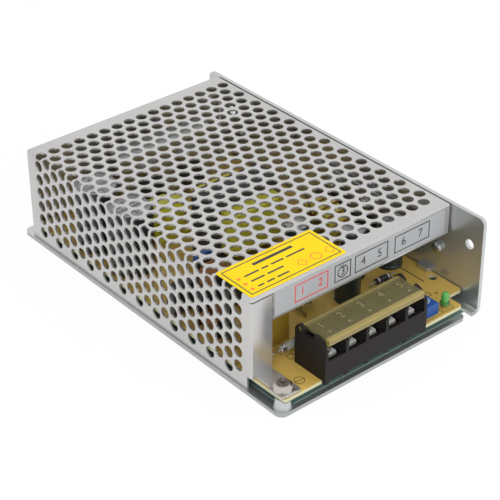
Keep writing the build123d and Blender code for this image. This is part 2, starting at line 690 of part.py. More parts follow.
def make_terminal_housing():
    """Moulded body of the terminal block: troughs, partitions, end plates and front feet."""
    body = slab_x(trough_profile(), BLOCK_LEFT, BLOCK_RIGHT)
    for k in range(1, POLES):
        x = BLOCK_LEFT + k * POLE_PITCH
        body += slab_x(rib_profile(), x, x + POLE_WALL)
    for x in (BLOCK_LEFT, BLOCK_RIGHT - POLE_WALL):
        body += slab_x(end_plate_profile(), x, x + POLE_WALL)
    foot_back = BOARD_FRONT - COVER_SEAT_GAP
    for k in range(POLES + 1):
        x = BLOCK_LEFT + k * POLE_PITCH
        left = min(max(x - (FOOT_WIDTH - POLE_WALL) / 2, BLOCK_LEFT), BLOCK_RIGHT - FOOT_WIDTH)
        body += span_box(left, left + FOOT_WIDTH, BLOCK_FRONT, foot_back, BOARD_TOP - FOOT_DROP, BOARD_TOP)
    for x in POLE_CENTRES:
        body -= post(x, SCREW_Y, BOARD_TOP + FLAP_SHEET / 2, TERMINAL_THREAD + CLEARANCE, BLOCK_FLOOR + 1)
        body -= contact_pin(x, THREAD_GAP, BOARD_TOP - 1, BOARD_TOP + BLOCK_FLOOR + 1)
    return body - rod_x(BLOCK_LEFT - 1, BLOCK_RIGHT + 1, HINGE_Y, HINGE_Z, FLAP_PIN + FLAP_PIN_FIT)


def make_terminal_flap():
    """Clear flap: thin plate, thick front lip, hinge barrel and end pins."""
    x0 = BLOCK_LEFT + POLE_WALL + CLEARANCE
    x1 = BLOCK_RIGHT - POLE_WALL - CLEARANCE
    top = BOARD_TOP + FLAP_TOP
    front = BLOCK_FRONT + COVER_SEAT_GAP
    plate = span_box(x0, x1, front, HINGE_Y, top - FLAP_SHEET, top)
    lip = span_box(x0, x1, front, front + FLAP_LIP, top - FLAP_LIP_DROP, top)
    lip = fillet(lip.edges().filter_by(Axis.X).group_by(Axis.Y)[0], FLAP_SHEET * 0.4)
    plate -= span_box(x0 - 1, x1 + 1, front - 1, front + FLAP_LIP / 2, top - FLAP_SHEET - 1, top + 1)
    barrel = rod_x(x0, x1, HINGE_Y, HINGE_Z, FLAP_BARREL)
    pins = rod_x(BLOCK_LEFT + CLEARANCE, BLOCK_RIGHT - CLEARANCE, HINGE_Y, HINGE_Z, FLAP_PIN)
    return plate + lip + barrel + pins


def make_contact_bar(x):
    """Contact bar of one pole with its threaded hole and solder pin."""
    y0 = BLOCK_FRONT + BLOCK_WALL + 1.2
    y1 = BLOCK_BACK - BLOCK_WALL - COVER_SEAT_GAP
    z0 = BOARD_TOP + BLOCK_FLOOR
    half = CONTACT_WIDTH / 2
    bar = span_box(x - half, x + half, y0, y1, z0, CONTACT_TOP)
    bar += contact_pin(x, 0, BOARD_TOP - PIN_REACH, CONTACT_TOP)
    return bar - post(x, SCREW_Y, z0 - 1, TERMINAL_THREAD + THREAD_GAP, CONTACT_SHEET + 2)


def make_clamp_plate(x):
    """Wire clamp under one screw head, with its front and back edges turned down."""
    y0 = BLOCK_FRONT + CLAMP_FRONT
    half = CLAMP_WIDTH / 2
    z0 = CLAMP_TOP - CLAMP_SHEET - CLAMP_LIP
    plate = span_box(x - half, x + half, y0, y0 + CLAMP_DEPTH, z0, CLAMP_TOP)
    outer = plate.edges().filter_by(Axis.X).group_by(Axis.Z)[-1]
    plate = fillet(outer, CLAMP_SHEET * 0.6)
    plate -= span_box(x - half - 1, x + half + 1, y0 + CLAMP_SHEET, y0 + CLAMP_DEPTH - CLAMP_SHEET,
                      z0 - 1, CLAMP_TOP - CLAMP_SHEET)
    return plate - post(x, SCREW_Y, z0, TERMINAL_THREAD + THREAD_GAP, CLAMP_LIP + CLAMP_SHEET + 1)


def make_terminal_screw(x):
    """Terminal screw of one pole."""
    seat = CLAMP_TOP + THREAD_GAP
    return pan_screw(x, SCREW_Y, seat, TERMINAL_HEAD, TERMINAL_HEAD_RISE, TERMINAL_THREAD, TERMINAL_REACH)


# Trimmer and indicator

def trimmer_centre():
    """Middle of the trimmer, beside the terminal block."""
    return TRIMMER_LEFT + TRIMMER_WIDTH / 2, FRONT + TRIMMER_FRONT + TRIMMER_DEPTH / 2


def make_trimmer_body():
    """Square trimmer case with the pocket of its rotor."""
    x, y = trimmer_centre()
    case = Pos(x, y, BOARD_TOP) * Box(TRIMMER_WIDTH, TRIMMER_DEPTH, TRIMMER_HEIGHT, align=BOTTOM_ALIGN)
    case = chamfer(case.edges().group_by(Axis.Z)[-1], CLEARANCE)
    floor = BOARD_TOP + TRIMMER_HEIGHT - ROTOR_SEAT
    return case - post(x, y, floor, ROTOR_RADIUS + ROTOR_FIT, ROTOR_SEAT + 1)


def make_trimmer_rotor():
    """Rotor with a cross slot for a screwdriver."""
    x, y = trimmer_centre()
    floor = BOARD_TOP + TRIMMER_HEIGHT - ROTOR_SEAT + THREAD_GAP
    rotor = post(x, y, floor, ROTOR_RADIUS, ROTOR_SEAT + ROTOR_RISE)
    for turn in (0, 90):
        slot = Rot(0, 0, turn) * Box(ROTOR_RADIUS * 1.5, ROTOR_RADIUS * 0.35, ROTOR_RISE * 3)
        rotor -= Pos(x, y, floor + ROTOR_SEAT + ROTOR_RISE) * slot
    return rotor


def make_led():
    """Indicator lamp on its two legs."""
    x = LED_LEFT + LED_RIM
    y = FRONT + LED_INSET_Y
    z = BOARD_TOP + LED_LEGS
    shoulder = LED_HEIGHT - LED_RADIUS
    lamp = post(x, y, z, LED_RADIUS, shoulder) + Pos(x, y, z + shoulder) * Sphere(LED_RADIUS)
    lamp += post(x, y, z, LED_RIM, LED_RADIUS * 0.6)
    for side in (-1, 1):
        leg = x + side * LED_RADIUS * 0.8
        lamp += Pos(leg, y, BOARD_TOP) * Box(LED_LEG, LED_LEG, LED_LEGS + LED_LEG, align=BOTTOM_ALIGN)
    return lamp


# Components inside the cover

def board_x(inset):
    """X at a distance from the board's left edge."""
    return BOARD_LEFT + inset


def board_y(inset):
    """Y at a distance from the board's front edge."""
    return BOARD_FRONT + inset


def axial_part(x, y, radius, length, cap=0.0):
    """Lying component along X with its two leads bent down to the board."""
    z = BOARD_TOP + radius + CLEARANCE
    body = rod_x(x - length / 2, x + length / 2, y, z, radius)
    if cap:
        body -= rod_x(x - length / 2 + cap, x + length / 2 - cap, y, z, radius + 1) - rod_x(
            x - length / 2 + cap, x + length / 2 - cap, y, z, radius * 0.88)
    half = length / 2 + LEAD_REACH
    leads = rod_x(x - half, x + half, y, z, LEAD_RADIUS)
    for side in (-1, 1):
        end = x + side * half
        leads += Pos(end, y, z) * Sphere(LEAD_RADIUS)
        leads += post(end, y, BOARD_TOP, LEAD_RADIUS, z - BOARD_TOP)
    return body + leads


def disc_part(x, y, radius, sheet):
    """Upright disc component on two legs, facing the terminals."""
    z = BOARD_TOP + DISC_LEGS + radius
    disc = rod_y(x, y - sheet / 2, y + sheet / 2, z, radius)
    disc = chamfer(disc.edges().filter_by(GeomType.CIRCLE), sheet / 4)
    for side in (-1, 1):
        disc += post(x + side * radius / 2, y, BOARD_TOP, LEAD_RADIUS, DISC_LEGS + radius / 2)
    return disc


def can_capacitor(x, y, radius, height):
    """Radial electrolytic capacitor: crimp near its foot, recessed lid."""
    rim = radius * 0.12
    crimp = radius * 0.06
    section = [(0, 0), (radius - rim / 2, 0), (radius, rim / 2), (radius, rim * 2), (radius - crimp, rim * 3),
               (radius, rim * 4), (radius, height - rim), (radius - rim, height),
               (radius - rim * 1.6, height), (radius - rim * 1.6, height - rim / 2), (0, height - rim / 2)]
    return turned(x, y, BOARD_TOP, section)


def make_fuse():
    """Glass fuse with two end caps, lying behind the terminal block."""
    return axial_part(board_x(FUSE_X), board_y(FUSE_Y), FUSE_RADIUS, FUSE_LENGTH, FUSE_CAP)


def make_film_capacitor():
    """Boxed film capacitor with rounded upright edges."""
    x0 = board_x(FILM_X)
    y0 = board_y(FILM_Y)
    box = span_box(x0, x0 + FILM_WIDTH, y0, y0 + FILM_DEPTH, BOARD_TOP, BOARD_TOP + FILM_HEIGHT)
    box = fillet(box.edges().filter_by(Axis.Z), COVER_BEND)
    return chamfer(box.edges().group_by(Axis.Z)[-1], CLEARANCE)


def make_thermistor():
    """Inrush limiting disc."""
    return disc_part(board_x(THERMISTOR_X), board_y(THERMISTOR_Y), DISC_RADIUS, DISC_SHEET)


def choke_frame():
    """Middle and corners of the mains choke."""
    x = board_x(CHOKE_X)
    y = board_y(CHOKE_Y)
    return x, y, BOARD_TOP + DISC_LEGS


def make_choke_core():
    """Closed ferrite frame of the mains choke."""
    x, y, z = choke_frame()
    frame = Pos(x, y, z) * Box(CHOKE_LIMB, CHOKE_DEPTH, CHOKE_HEIGHT, align=BOTTOM_ALIGN)
    window = Pos(x, y, z + CHOKE_LEG) * Box(CHOKE_WIDTH, CHOKE_DEPTH - 2 * CHOKE_LEG,
                                            CHOKE_HEIGHT - 2 * CHOKE_LEG, align=BOTTOM_ALIGN)
    return frame - window


def make_choke_windings():
    """Two coils on the choke's lower and upper limbs with their bobbin cheeks and feet."""
    x, y, z = choke_frame()
    gap = THREAD_GAP
    span = CHOKE_DEPTH - 2 * CHOKE_LEG - 2 * gap
    pieces = []
    for low in (z, z + CHOKE_HEIGHT - CHOKE_LEG):
        axis_z = low + CHOKE_LEG / 2
        coil = rod_y(x, y - span / 2, y + span / 2, axis_z, CHOKE_COIL)
        bore = Pos(x, y, axis_z) * Box(CHOKE_LIMB + 2 * gap, span + 2, CHOKE_LEG + 2 * gap)
        limit = span_box(x - CHOKE_WIDTH / 2, x + CHOKE_WIDTH / 2, y - span, y + span, BOARD_TOP,
                         z + CHOKE_HEIGHT + DISC_LEGS)
        pieces.append((coil & limit) - bore)
    return joined(pieces)


def make_bridge_rectifier():
    """Upright bridge rectifier with a chamfered corner, on four legs."""
    x0 = board_x(BRIDGE_X) - BRIDGE_WIDTH / 2
    x1 = x0 + BRIDGE_WIDTH
    y = board_y(BRIDGE_Y)
    z0 = BOARD_TOP + DISC_LEGS
    body = span_box(x0, x1, y - BRIDGE_SHEET / 2, y + BRIDGE_SHEET / 2, z0, z0 + BRIDGE_HEIGHT)
    corner = body.edges().filter_by(Axis.Y).group_by(Axis.Z)[-1].sort_by(Axis.X)[0]
    body = chamfer(corner, BRIDGE_SHEET / 2)
    step = BRIDGE_WIDTH / 4
    for k in range(4):
        body += post(x0 + step * (k + 0.5), y, BOARD_TOP, LEAD_RADIUS, DISC_LEGS + 0.5)
    return body


def make_bulk_capacitor(back):
    """Mains smoothing capacitor at a distance from the board's back edge."""
    return can_capacitor(board_x(BULK_X), BOARD_BACK - back, BULK_RADIUS, BULK_HEIGHT)


def make_transformer_core():
    """Paired E cores of the main transformer: outer frame and centre limb."""
    y = BOARD_MIDDLE + CORE_BEHIND
    core = Pos(CORE_X, y, BOARD_TOP) * Box(CORE_WIDTH, CORE_DEPTH, CORE_HEIGHT, align=BOTTOM_ALIGN)
    window = CORE_WIDTH / 2 - CORE_SIDE - CORE_LIMB / 2
    for side in (-1, 1):
        x = CORE_X + side * (CORE_LIMB + window) / 2
        core -= Pos(x, y, BOARD_TOP + CORE_YOKE) * Box(window, CORE_DEPTH + 2, CORE_HEIGHT - 2 * CORE_YOKE,
                                                       align=BOTTOM_ALIGN)
    return core


def make_transformer_winding():
    """Taped coil on the centre limb, bulging in front of and behind the core."""
    y = BOARD_MIDDLE + CORE_BEHIND
    width = CORE_WIDTH - 2 * CORE_SIDE - 2 * THREAD_GAP
    height = CORE_HEIGHT - 2 * CORE_YOKE - 2 * THREAD_GAP
    base = Pos(CORE_X, y, BOARD_TOP + CORE_YOKE + THREAD_GAP)
    coil = base * Box(width, COIL_DEPTH, height, align=BOTTOM_ALIGN)
    coil = fillet(coil.edges().filter_by(Axis.Z), CHASSIS_FOLD)
    limb = Box(CORE_LIMB + 2 * THREAD_GAP, CORE_DEPTH + 2 * THREAD_GAP, height + 2, align=BOTTOM_ALIGN)
    return coil - Pos(CORE_X, y, BOARD_TOP + CORE_YOKE - 1) * limb


def make_driver_transformer():
    """Small sealed drive transformer: taped core on a bobbin base."""
    y = BOARD_MIDDLE + DRIVER_BEHIND
    base = Pos(DRIVER_X, y, BOARD_TOP) * Box(DRIVER_WIDTH, DRIVER_DEPTH, DISC_LEGS, align=BOTTOM_ALIGN)
    core = Pos(DRIVER_X, y, BOARD_TOP + DISC_LEGS) * Box(
        DRIVER_WIDTH, DRIVER_DEPTH * 0.4, DRIVER_HEIGHT - DISC_LEGS, align=BOTTOM_ALIGN)
    coil = Pos(DRIVER_X, y, BOARD_TOP + DISC_LEGS) * Box(
        DRIVER_WIDTH * 0.62, DRIVER_DEPTH, DRIVER_HEIGHT - 2 * DISC_LEGS, align=BOTTOM_ALIGN)
    coil = fillet(coil.edges().filter_by(Axis.Z), DISC_LEGS)
    return base + core + coil


def make_transistor_heatsink():
    """Bent aluminium plate that stands on the board behind the power transistors."""
    y = BOARD_BACK - SINK_BACK
    x0 = SINK_X - SINK_WIDTH / 2
    x1 = SINK_X + SINK_WIDTH / 2
    top = BOARD_TOP + SINK_HEIGHT
    sink = span_box(x0, x1, y, y + SINK_FLANGE, BOARD_TOP, top)
    sink -= span_box(x0 - 1, x1 + 1, y + SINK_SHEET, y + SINK_FLANGE + 1, BOARD_TOP - 1, top - SINK_SHEET)
    bend = sink.edges().filter_by(Axis.X).sort_by(lambda e: e.center().Z - e.center().Y)[-1]
    sink = fillet(bend, SINK_SHEET)
    for x in transistor_columns():
        sink -= rod_y(x, y - 1, y + SINK_SHEET + 1, device_screw_rise(), SMALL_THREAD + THREAD_GAP)
    return sink


def transistor_columns():
    """X of the two power transistors."""
    return [SINK_X - DEVICE_SPACING / 2, SINK_X + DEVICE_SPACING / 2]


def rectifier_rows():
    """Y of the two output rectifiers."""
    middle = board_y(BAR_Y)
    return [middle - DEVICE_SPACING / 2, middle + DEVICE_SPACING / 2]


def device_screw_rise():
    """Height of the screw through a power device's tab."""
    return BOARD_TOP + DEVICE_RISE + DEVICE_HOLE


def power_device(x, y, turn):
    """Three-legged power device, tab plane at its origin, facing -Y before it is turned."""
    half = DEVICE_WIDTH / 2
    top = DEVICE_RISE + DEVICE_HEIGHT
    tab = span_box(-half, half, -DEVICE_TAB, 0, DEVICE_RISE, top)
    tab = chamfer(tab.edges().filter_by(Axis.Y).group_by(Axis.Z)[-1], DEVICE_TAB)
    body = span_box(-half, half, -DEVICE_BODY, -CLEARANCE, DEVICE_RISE, DEVICE_RISE + DEVICE_BODY_HEIGHT)
    body = chamfer(body.edges().filter_by(Axis.X).group_by(Axis.Z)[-1].sort_by(Axis.Y)[0], CLEARANCE)
    device = tab + body - rod_y(0, -DEVICE_TAB - 1, 1, DEVICE_RISE + DEVICE_HOLE, SMALL_THREAD + CLEARANCE)
    for k in (-1, 0, 1):
        leg = Box(*DEVICE_LEG, DEVICE_RISE, align=BOTTOM_ALIGN)
        device += Pos(k * DEVICE_WIDTH / 4, -DEVICE_BODY / 2, 0) * leg
    return Pos(x, y, BOARD_TOP) * Rot(0, 0, turn) * device


def make_power_transistor(x):
    """Power transistor against the standing heatsink."""
    return power_device(x, BOARD_BACK - SINK_BACK, 0)


def make_output_rectifier(y):
    """Output rectifier against the bar on the tall wall."""
    return power_device(BAR_LEFT, y, -90)


def make_heat_bar():
    """Aluminium bar between the output rectifiers and the tall wall."""
    y = board_y(BAR_Y)
    bar = span_box(BAR_LEFT, WALL_IN, y - BAR_LENGTH / 2, y + BAR_LENGTH / 2, BAR_BOTTOM, BAR_TOP)
    bar = chamfer(bar.edges().filter_by(Axis.Y).group_by(Axis.X)[0], CLEARANCE)
    for row in rectifier_rows():
        bar -= rod_x(BAR_LEFT - 1, WALL_IN + 1, row, device_screw_rise(), SMALL_THREAD + THREAD_GAP)
    row, rise = wall_screw_places()[-1]
    return bar - rod_x(BAR_LEFT - 1, WALL_IN + 1, row, rise, SMALL_THREAD + THREAD_GAP)


def make_device_screws():
    """Screws through the tabs of the power devices."""
    reach = DEVICE_TAB + SINK_SHEET
    screw = pan_screw(0, 0, 0, SMALL_HEAD, SMALL_HEAD_RISE, SMALL_THREAD, reach)
    z = device_screw_rise()
    y = BOARD_BACK - SINK_BACK - DEVICE_TAB
    screws = [Pos(x, y, z) * Rot(90, 0, 0) * screw for x in transistor_columns()]
    x = BAR_LEFT - DEVICE_TAB
    screws += [Pos(x, row, z) * Rot(0, -90, 0) * screw for row in rectifier_rows()]
    return joined(screws)


def ring_place():
    """Centre of the standing output inductor."""
    return BOARD_RIGHT - RING_X, board_y(RING_Y), BOARD_TOP + RING_RADIUS + WINDING_SHEET


def make_inductor_core():
    """Powder iron ring of the output inductor, standing on its edge."""
    x, y, z = ring_place()
    ring = rod_x(x - RING_WIDTH / 2, x + RING_WIDTH / 2, y, z, RING_RADIUS)
    ring = fillet(ring.edges().filter_by(GeomType.CIRCLE), WINDING_SHEET)
    return ring - rod_x(x - RING_WIDTH, x + RING_WIDTH, y, z, RING_BORE)


def make_inductor_winding():
    """Turns of thick wire laid round the ring, one closed loop for each turn."""
    x, y, z = ring_place()
    depth = RING_RADIUS - RING_BORE
    reach = RING_WIDTH / 2 + WINDING_SHEET + THREAD_GAP
    outer = Box(2 * reach, WINDING_SHEET, depth + 2 * (WINDING_SHEET + THREAD_GAP))
    inner = Box(RING_WIDTH + 2 * THREAD_GAP, WINDING_SHEET * 2, depth + 2 * THREAD_GAP)
    loop = fillet(outer.edges().filter_by(Axis.Y), WINDING_SHEET) - inner
    turns = []
    for k in range(WINDING_TURNS):
        turn = Rot(360 / WINDING_TURNS * (k + 0.5), 0, 0) * Pos(0, 0, RING_BORE + depth / 2) * loop
        turns.append(Pos(x, y, z) * turn)
    return joined(turns)


def output_can_places():
    """(x, y) of each output capacitor: two near the middle, two near the tall wall."""
    places = {letter: (x, board_y(y)) for letter, (x, y) in MIDDLE_CANS.items()}
    places.update({letter: (BOARD_RIGHT - x, board_y(y)) for letter, (x, y) in RIGHT_CANS.items()})
    return places


def make_control_chip():
    """Dual in line control chip with its end notch, on short legs."""
    x0 = board_x(CHIP_X)
    y0 = board_y(CHIP_Y)
    z0 = BOARD_TOP + CLEARANCE
    chip = span_box(x0, x0 + CHIP_WIDTH, y0, y0 + CHIP_LENGTH, z0, z0 + CHIP_HEIGHT)
    chip = chamfer(chip.edges().group_by(Axis.Z)[-1], CLEARANCE)
    chip -= post(x0 + CHIP_WIDTH / 2, y0, z0 + CHIP_HEIGHT / 2, 1.0, CHIP_HEIGHT)
    count = int(CHIP_LENGTH / CHIP_PIN_PITCH)
    for k in range(count + 1):
        y = y0 + CHIP_LENGTH / 2 + (k - count / 2) * CHIP_PIN_PITCH - CHIP_PIN / 2
        for x in (x0 - CHIP_PIN, x0 + CHIP_WIDTH):
            chip += span_box(x, x + CHIP_PIN, y, y + CHIP_PIN, BOARD_TOP, z0 + CHIP_HEIGHT / 2)
    return chip


def make_axial_group(places):
    """Several small lying components in one node."""
    return joined(axial_part(board_x(x), board_y(y), AXIAL_RADIUS, AXIAL_LENGTH) for x, y in places)


def make_jumper_wires():
    """Straight wire links along the board, bent down at both ends."""
    wires = []
    z = BOARD_TOP + AXIAL_RADIUS
    for inset_x, inset_y, length in WIRES:
        x = board_x(inset_x)
        y = board_y(inset_y)
        wire = rod_y(x, y, y + length, z, LEAD_RADIUS)
        for end in (y, y + length):
            wire += Pos(x, end, z) * Sphere(LEAD_RADIUS)
            wire += post(x, end, BOARD_TOP, LEAD_RADIUS, z - BOARD_TOP)
        wires.append(wire)
    return joined(wires)


def build_nodes():
    """Every node of the part by name."""
    nodes = {
        "chassis": make_chassis(),
        "side_inserts": make_side_inserts(),
        "cover": make_cover(),
        "label": make_label(),
        "circuit_board": make_circuit_board(),
        "insulating_sheet": make_insulating_sheet(),
        "earth_screw": make_earth_screw(),
        "square_washer": make_square_washer(),
        "board_screws": make_board_screws(),
        "wall_screws": make_wall_screws(),
        "terminal_housing": make_terminal_housing(),
        "terminal_flap": make_terminal_flap(),
        "trimmer_body": make_trimmer_body(),
        "trimmer_rotor": make_trimmer_rotor(),
        "indicator_led": make_led(),
        "fuse": make_fuse(),
        "film_capacitor": make_film_capacitor(),
        "thermistor": make_thermistor(),
        "choke_core": make_choke_core(),
        "choke_windings": make_choke_windings(),
        "bridge_rectifier": make_bridge_rectifier(),
        "transformer_core": make_transformer_core(),
        "transformer_winding": make_transformer_winding(),
        "driver_transformer": make_driver_transformer(),
        "transistor_heatsink": make_transistor_heatsink(),
        "heat_bar": make_heat_bar(),
        "device_screws": make_device_screws(),
        "inductor_core": make_inductor_core(),
        "inductor_winding": make_inductor_winding(),
        "control_chip": make_control_chip(),
        "resistors": make_axial_group(RESISTORS),
        "diodes": make_axial_group(DIODES),
        "jumper_wires": make_jumper_wires(),
    }
    for k, x in enumerate(POLE_CENTRES, start=1):
        nodes[f"contact_bar_{k}"] = make_contact_bar(x)
        nodes[f"clamp_plate_{k}"] = make_clamp_plate(x)
        nodes[f"terminal_screw_{k}"] = make_terminal_screw(x)
    for letter, back in zip("ab", BULK_BACK):
        nodes[f"bulk_capacitor_{letter}"] = make_bulk_capacitor(back)
    for letter, (x, y) in output_can_places().items():
        nodes[f"output_capacitor_{letter}"] = can_capacitor(x, y, CAN_RADIUS, CAN_HEIGHT)
    for letter, place in SMALL_DISCS.items():
        x = board_x(place[0])
        nodes[f"y_capacitor_{letter}"] = disc_part(x, board_y(place[1]), DISC_RADIUS, DISC_SHEET)
    for letter, x in zip("ab", transistor_columns()):
        nodes[f"power_transistor_{letter}"] = make_power_transistor(x)
    for letter, y in zip("ab", rectifier_rows()):
        nodes[f"output_rectifier_{letter}"] = make_output_rectifier(y)
    return nodes


os.makedirs("parts", exist_ok=True)
for name, shape in build_nodes().items():
    export_step(shape, f"parts/{name}.step")
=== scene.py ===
"""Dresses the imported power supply: its real round perforation, prints, wire turns and finishes.

The frame carries every solid at its place. This script replaces the cover, the label, the fuse and
the windings of the choke and the inductor with more detailed pieces, adds what is printed or raised
on them, gives every node a finish, and sets the floor, the lamps and the camera.
"""

from __future__ import annotations

import json
import logging
import math
from dataclasses import dataclass
from enum import Enum
from typing import Any, Callable, ClassVar, Iterable, Sequence

import bmesh
import bpy
from mathutils import Matrix, Vector

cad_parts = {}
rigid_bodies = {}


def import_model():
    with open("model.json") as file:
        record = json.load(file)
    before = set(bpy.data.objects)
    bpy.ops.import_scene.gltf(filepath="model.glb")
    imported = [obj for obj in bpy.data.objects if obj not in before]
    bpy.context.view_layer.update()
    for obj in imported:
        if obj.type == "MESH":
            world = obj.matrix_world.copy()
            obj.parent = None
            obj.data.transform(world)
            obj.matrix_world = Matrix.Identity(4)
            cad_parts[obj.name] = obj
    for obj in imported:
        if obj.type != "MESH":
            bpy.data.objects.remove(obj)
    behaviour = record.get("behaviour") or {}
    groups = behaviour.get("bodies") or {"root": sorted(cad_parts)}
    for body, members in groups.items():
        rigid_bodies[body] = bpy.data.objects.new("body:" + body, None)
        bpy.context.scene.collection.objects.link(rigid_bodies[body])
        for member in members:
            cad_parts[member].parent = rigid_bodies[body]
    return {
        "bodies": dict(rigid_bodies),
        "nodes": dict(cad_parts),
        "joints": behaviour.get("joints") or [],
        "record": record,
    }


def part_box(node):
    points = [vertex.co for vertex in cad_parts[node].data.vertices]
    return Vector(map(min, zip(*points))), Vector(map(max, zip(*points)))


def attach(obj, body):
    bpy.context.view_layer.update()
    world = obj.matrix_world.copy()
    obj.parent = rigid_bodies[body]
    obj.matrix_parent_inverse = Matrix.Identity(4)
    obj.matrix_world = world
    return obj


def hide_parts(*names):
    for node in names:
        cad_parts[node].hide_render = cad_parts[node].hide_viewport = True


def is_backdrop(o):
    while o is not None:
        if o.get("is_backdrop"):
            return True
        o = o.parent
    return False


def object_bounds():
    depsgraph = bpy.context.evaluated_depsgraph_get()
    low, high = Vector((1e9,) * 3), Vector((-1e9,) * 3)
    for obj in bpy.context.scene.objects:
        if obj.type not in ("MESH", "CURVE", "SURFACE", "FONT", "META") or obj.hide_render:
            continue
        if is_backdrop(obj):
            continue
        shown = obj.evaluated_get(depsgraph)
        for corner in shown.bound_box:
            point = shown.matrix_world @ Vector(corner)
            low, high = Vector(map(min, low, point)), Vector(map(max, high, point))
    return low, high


LOG = logging.getLogger("power_supply")

MM = 0.001
EDGE_EASE = 0.01 * MM
Triple = tuple[float, float, float]


def mm(*values: float) -> Vector:
    """Millimetres as a vector in metres."""
    return Vector(value * MM for value in values)


# Node graphs


class Signal:
    """A node output that takes part in Python arithmetic on values."""

    def __init__(self, graph: Graph, socket: bpy.types.NodeSocket) -> None:
        """Wraps an output socket of a graph."""
        self.graph = graph
        self.socket = socket

    def math(self, operation: str, *others: float | Signal, swap: bool = False) -> Signal:
        """Adds one Math node.

        Args:
            operation: the Math node's operation.
            others: the values or signals after this one.
            swap: whether this signal comes second.

        Returns:
            The node's result.
        """
        terms: list[float | Signal] = [self, *others]
        if swap:
            terms.reverse()
        node = self.graph.node("ShaderNodeMath", {"operation": operation}, dict(enumerate(terms)))
        return Signal(self.graph, node.outputs[0])

    def __add__(self, other: float | Signal) -> Signal:
        """Sum."""
        return self.math("ADD", other)

    __radd__ = __add__

    def __sub__(self, other: float | Signal) -> Signal:
        """Difference."""
        return self.math("SUBTRACT", other)

    def __rsub__(self, other: float | Signal) -> Signal:
        """Difference the other way round."""
        return self.math("SUBTRACT", other, swap=True)

    def __mul__(self, other: float | Signal) -> Signal:
        """Product."""
        return self.math("MULTIPLY", other)

    __rmul__ = __mul__

    def __truediv__(self, other: float | Signal) -> Signal:
        """Quotient."""
        return self.math("DIVIDE", other)

    def __rtruediv__(self, other: float | Signal) -> Signal:
        """Quotient the other way round."""
        return self.math("DIVIDE", other, swap=True)

    def __lt__(self, other: float | Signal) -> Signal:
        """1 where this is the smaller one."""
        return self.math("LESS_THAN", other)

    def __gt__(self, other: float | Signal) -> Signal:
        """1 where this is the larger one."""
        return self.math("GREATER_THAN", other)

    def __mod__(self, other: float | Signal) -> Signal:
        """Floored remainder."""
        return self.math("FLOORED_MODULO", other)

    def __abs__(self) -> Signal:
        """Absolute value."""
        return self.math("ABSOLUTE")

    def floor(self) -> Signal:
        """Next whole number down."""
        return self.math("FLOOR")

    def least(self, other: float | Signal) -> Signal:
        """The smaller of two values."""
        return self.math("MINIMUM", other)

    def most(self, other: float | Signal) -> Signal:
        """The larger of two values."""
        return self.math("MAXIMUM", other)

    def step(self, low: float, high: float) -> Signal:
        """Smooth change from 0 at low to 1 at high."""
        settings = {"interpolation_type": "SMOOTHSTEP"}
        node = self.graph.node("ShaderNodeMapRange", settings, {0: self, 1: low, 2: high})
        return Signal(self.graph, node.outputs[0])

    def within(self, low: float, high: float) -> Signal:
        """1 between two values."""
        return (self > low) * (self < high)


class Graph:
    """A node tree under construction."""

    def __init__(self, tree: bpy.types.NodeTree) -> None:
        """Starts from an empty tree."""
        self.tree = tree
        self.tree.nodes.clear()

    def feed(self, socket: bpy.types.NodeSocket, value: Any) -> None:
        """Links a signal to a socket, or sets its value."""
        if isinstance(value, Signal):
            self.tree.links.new(value.socket, socket)
        else:
            socket.default_value = value

    def node(self, kind: str, settings: dict[str, Any] | None = None,
             inputs: dict[int | str, Any] | None = None) -> bpy.types.Node:
        """Adds a node.

        Args:
            kind: the node's type.
            settings: attributes, set before the inputs.
            inputs: values or signals by socket name or number.

        Returns:
            The new node.
        """
        made = self.tree.nodes.new(kind)
        for key, value in (settings or {}).items():
            setattr(made, key, value)
        for key, value in (inputs or {}).items():
            self.feed(made.inputs[key], value)
        return made

    def out(self, kind: str, settings: dict[str, Any] | None = None,
            inputs: dict[int | str, Any] | None = None, socket: int | str = 0) -> Signal:
        """Adds a node and returns one of its outputs."""
        return Signal(self, self.node(kind, settings, inputs).outputs[socket])

    def split(self, vector: Signal) -> tuple[Signal, Signal, Signal]:
        """The three parts of a vector."""
        node = self.node("ShaderNodeSeparateXYZ", {}, {0: vector})
        return tuple(Signal(self, output) for output in node.outputs)

    def vector(self, x: float | Signal, y: float | Signal, z: float | Signal) -> Signal:
        """A vector from three values."""
        return self.out("ShaderNodeCombineXYZ", {}, {0: x, 1: y, 2: z})

    def combine(self, operation: str, *terms: Any) -> Signal:
        """One Vector Math node."""
        return self.out("ShaderNodeVectorMath", {"operation": operation}, dict(enumerate(terms)))


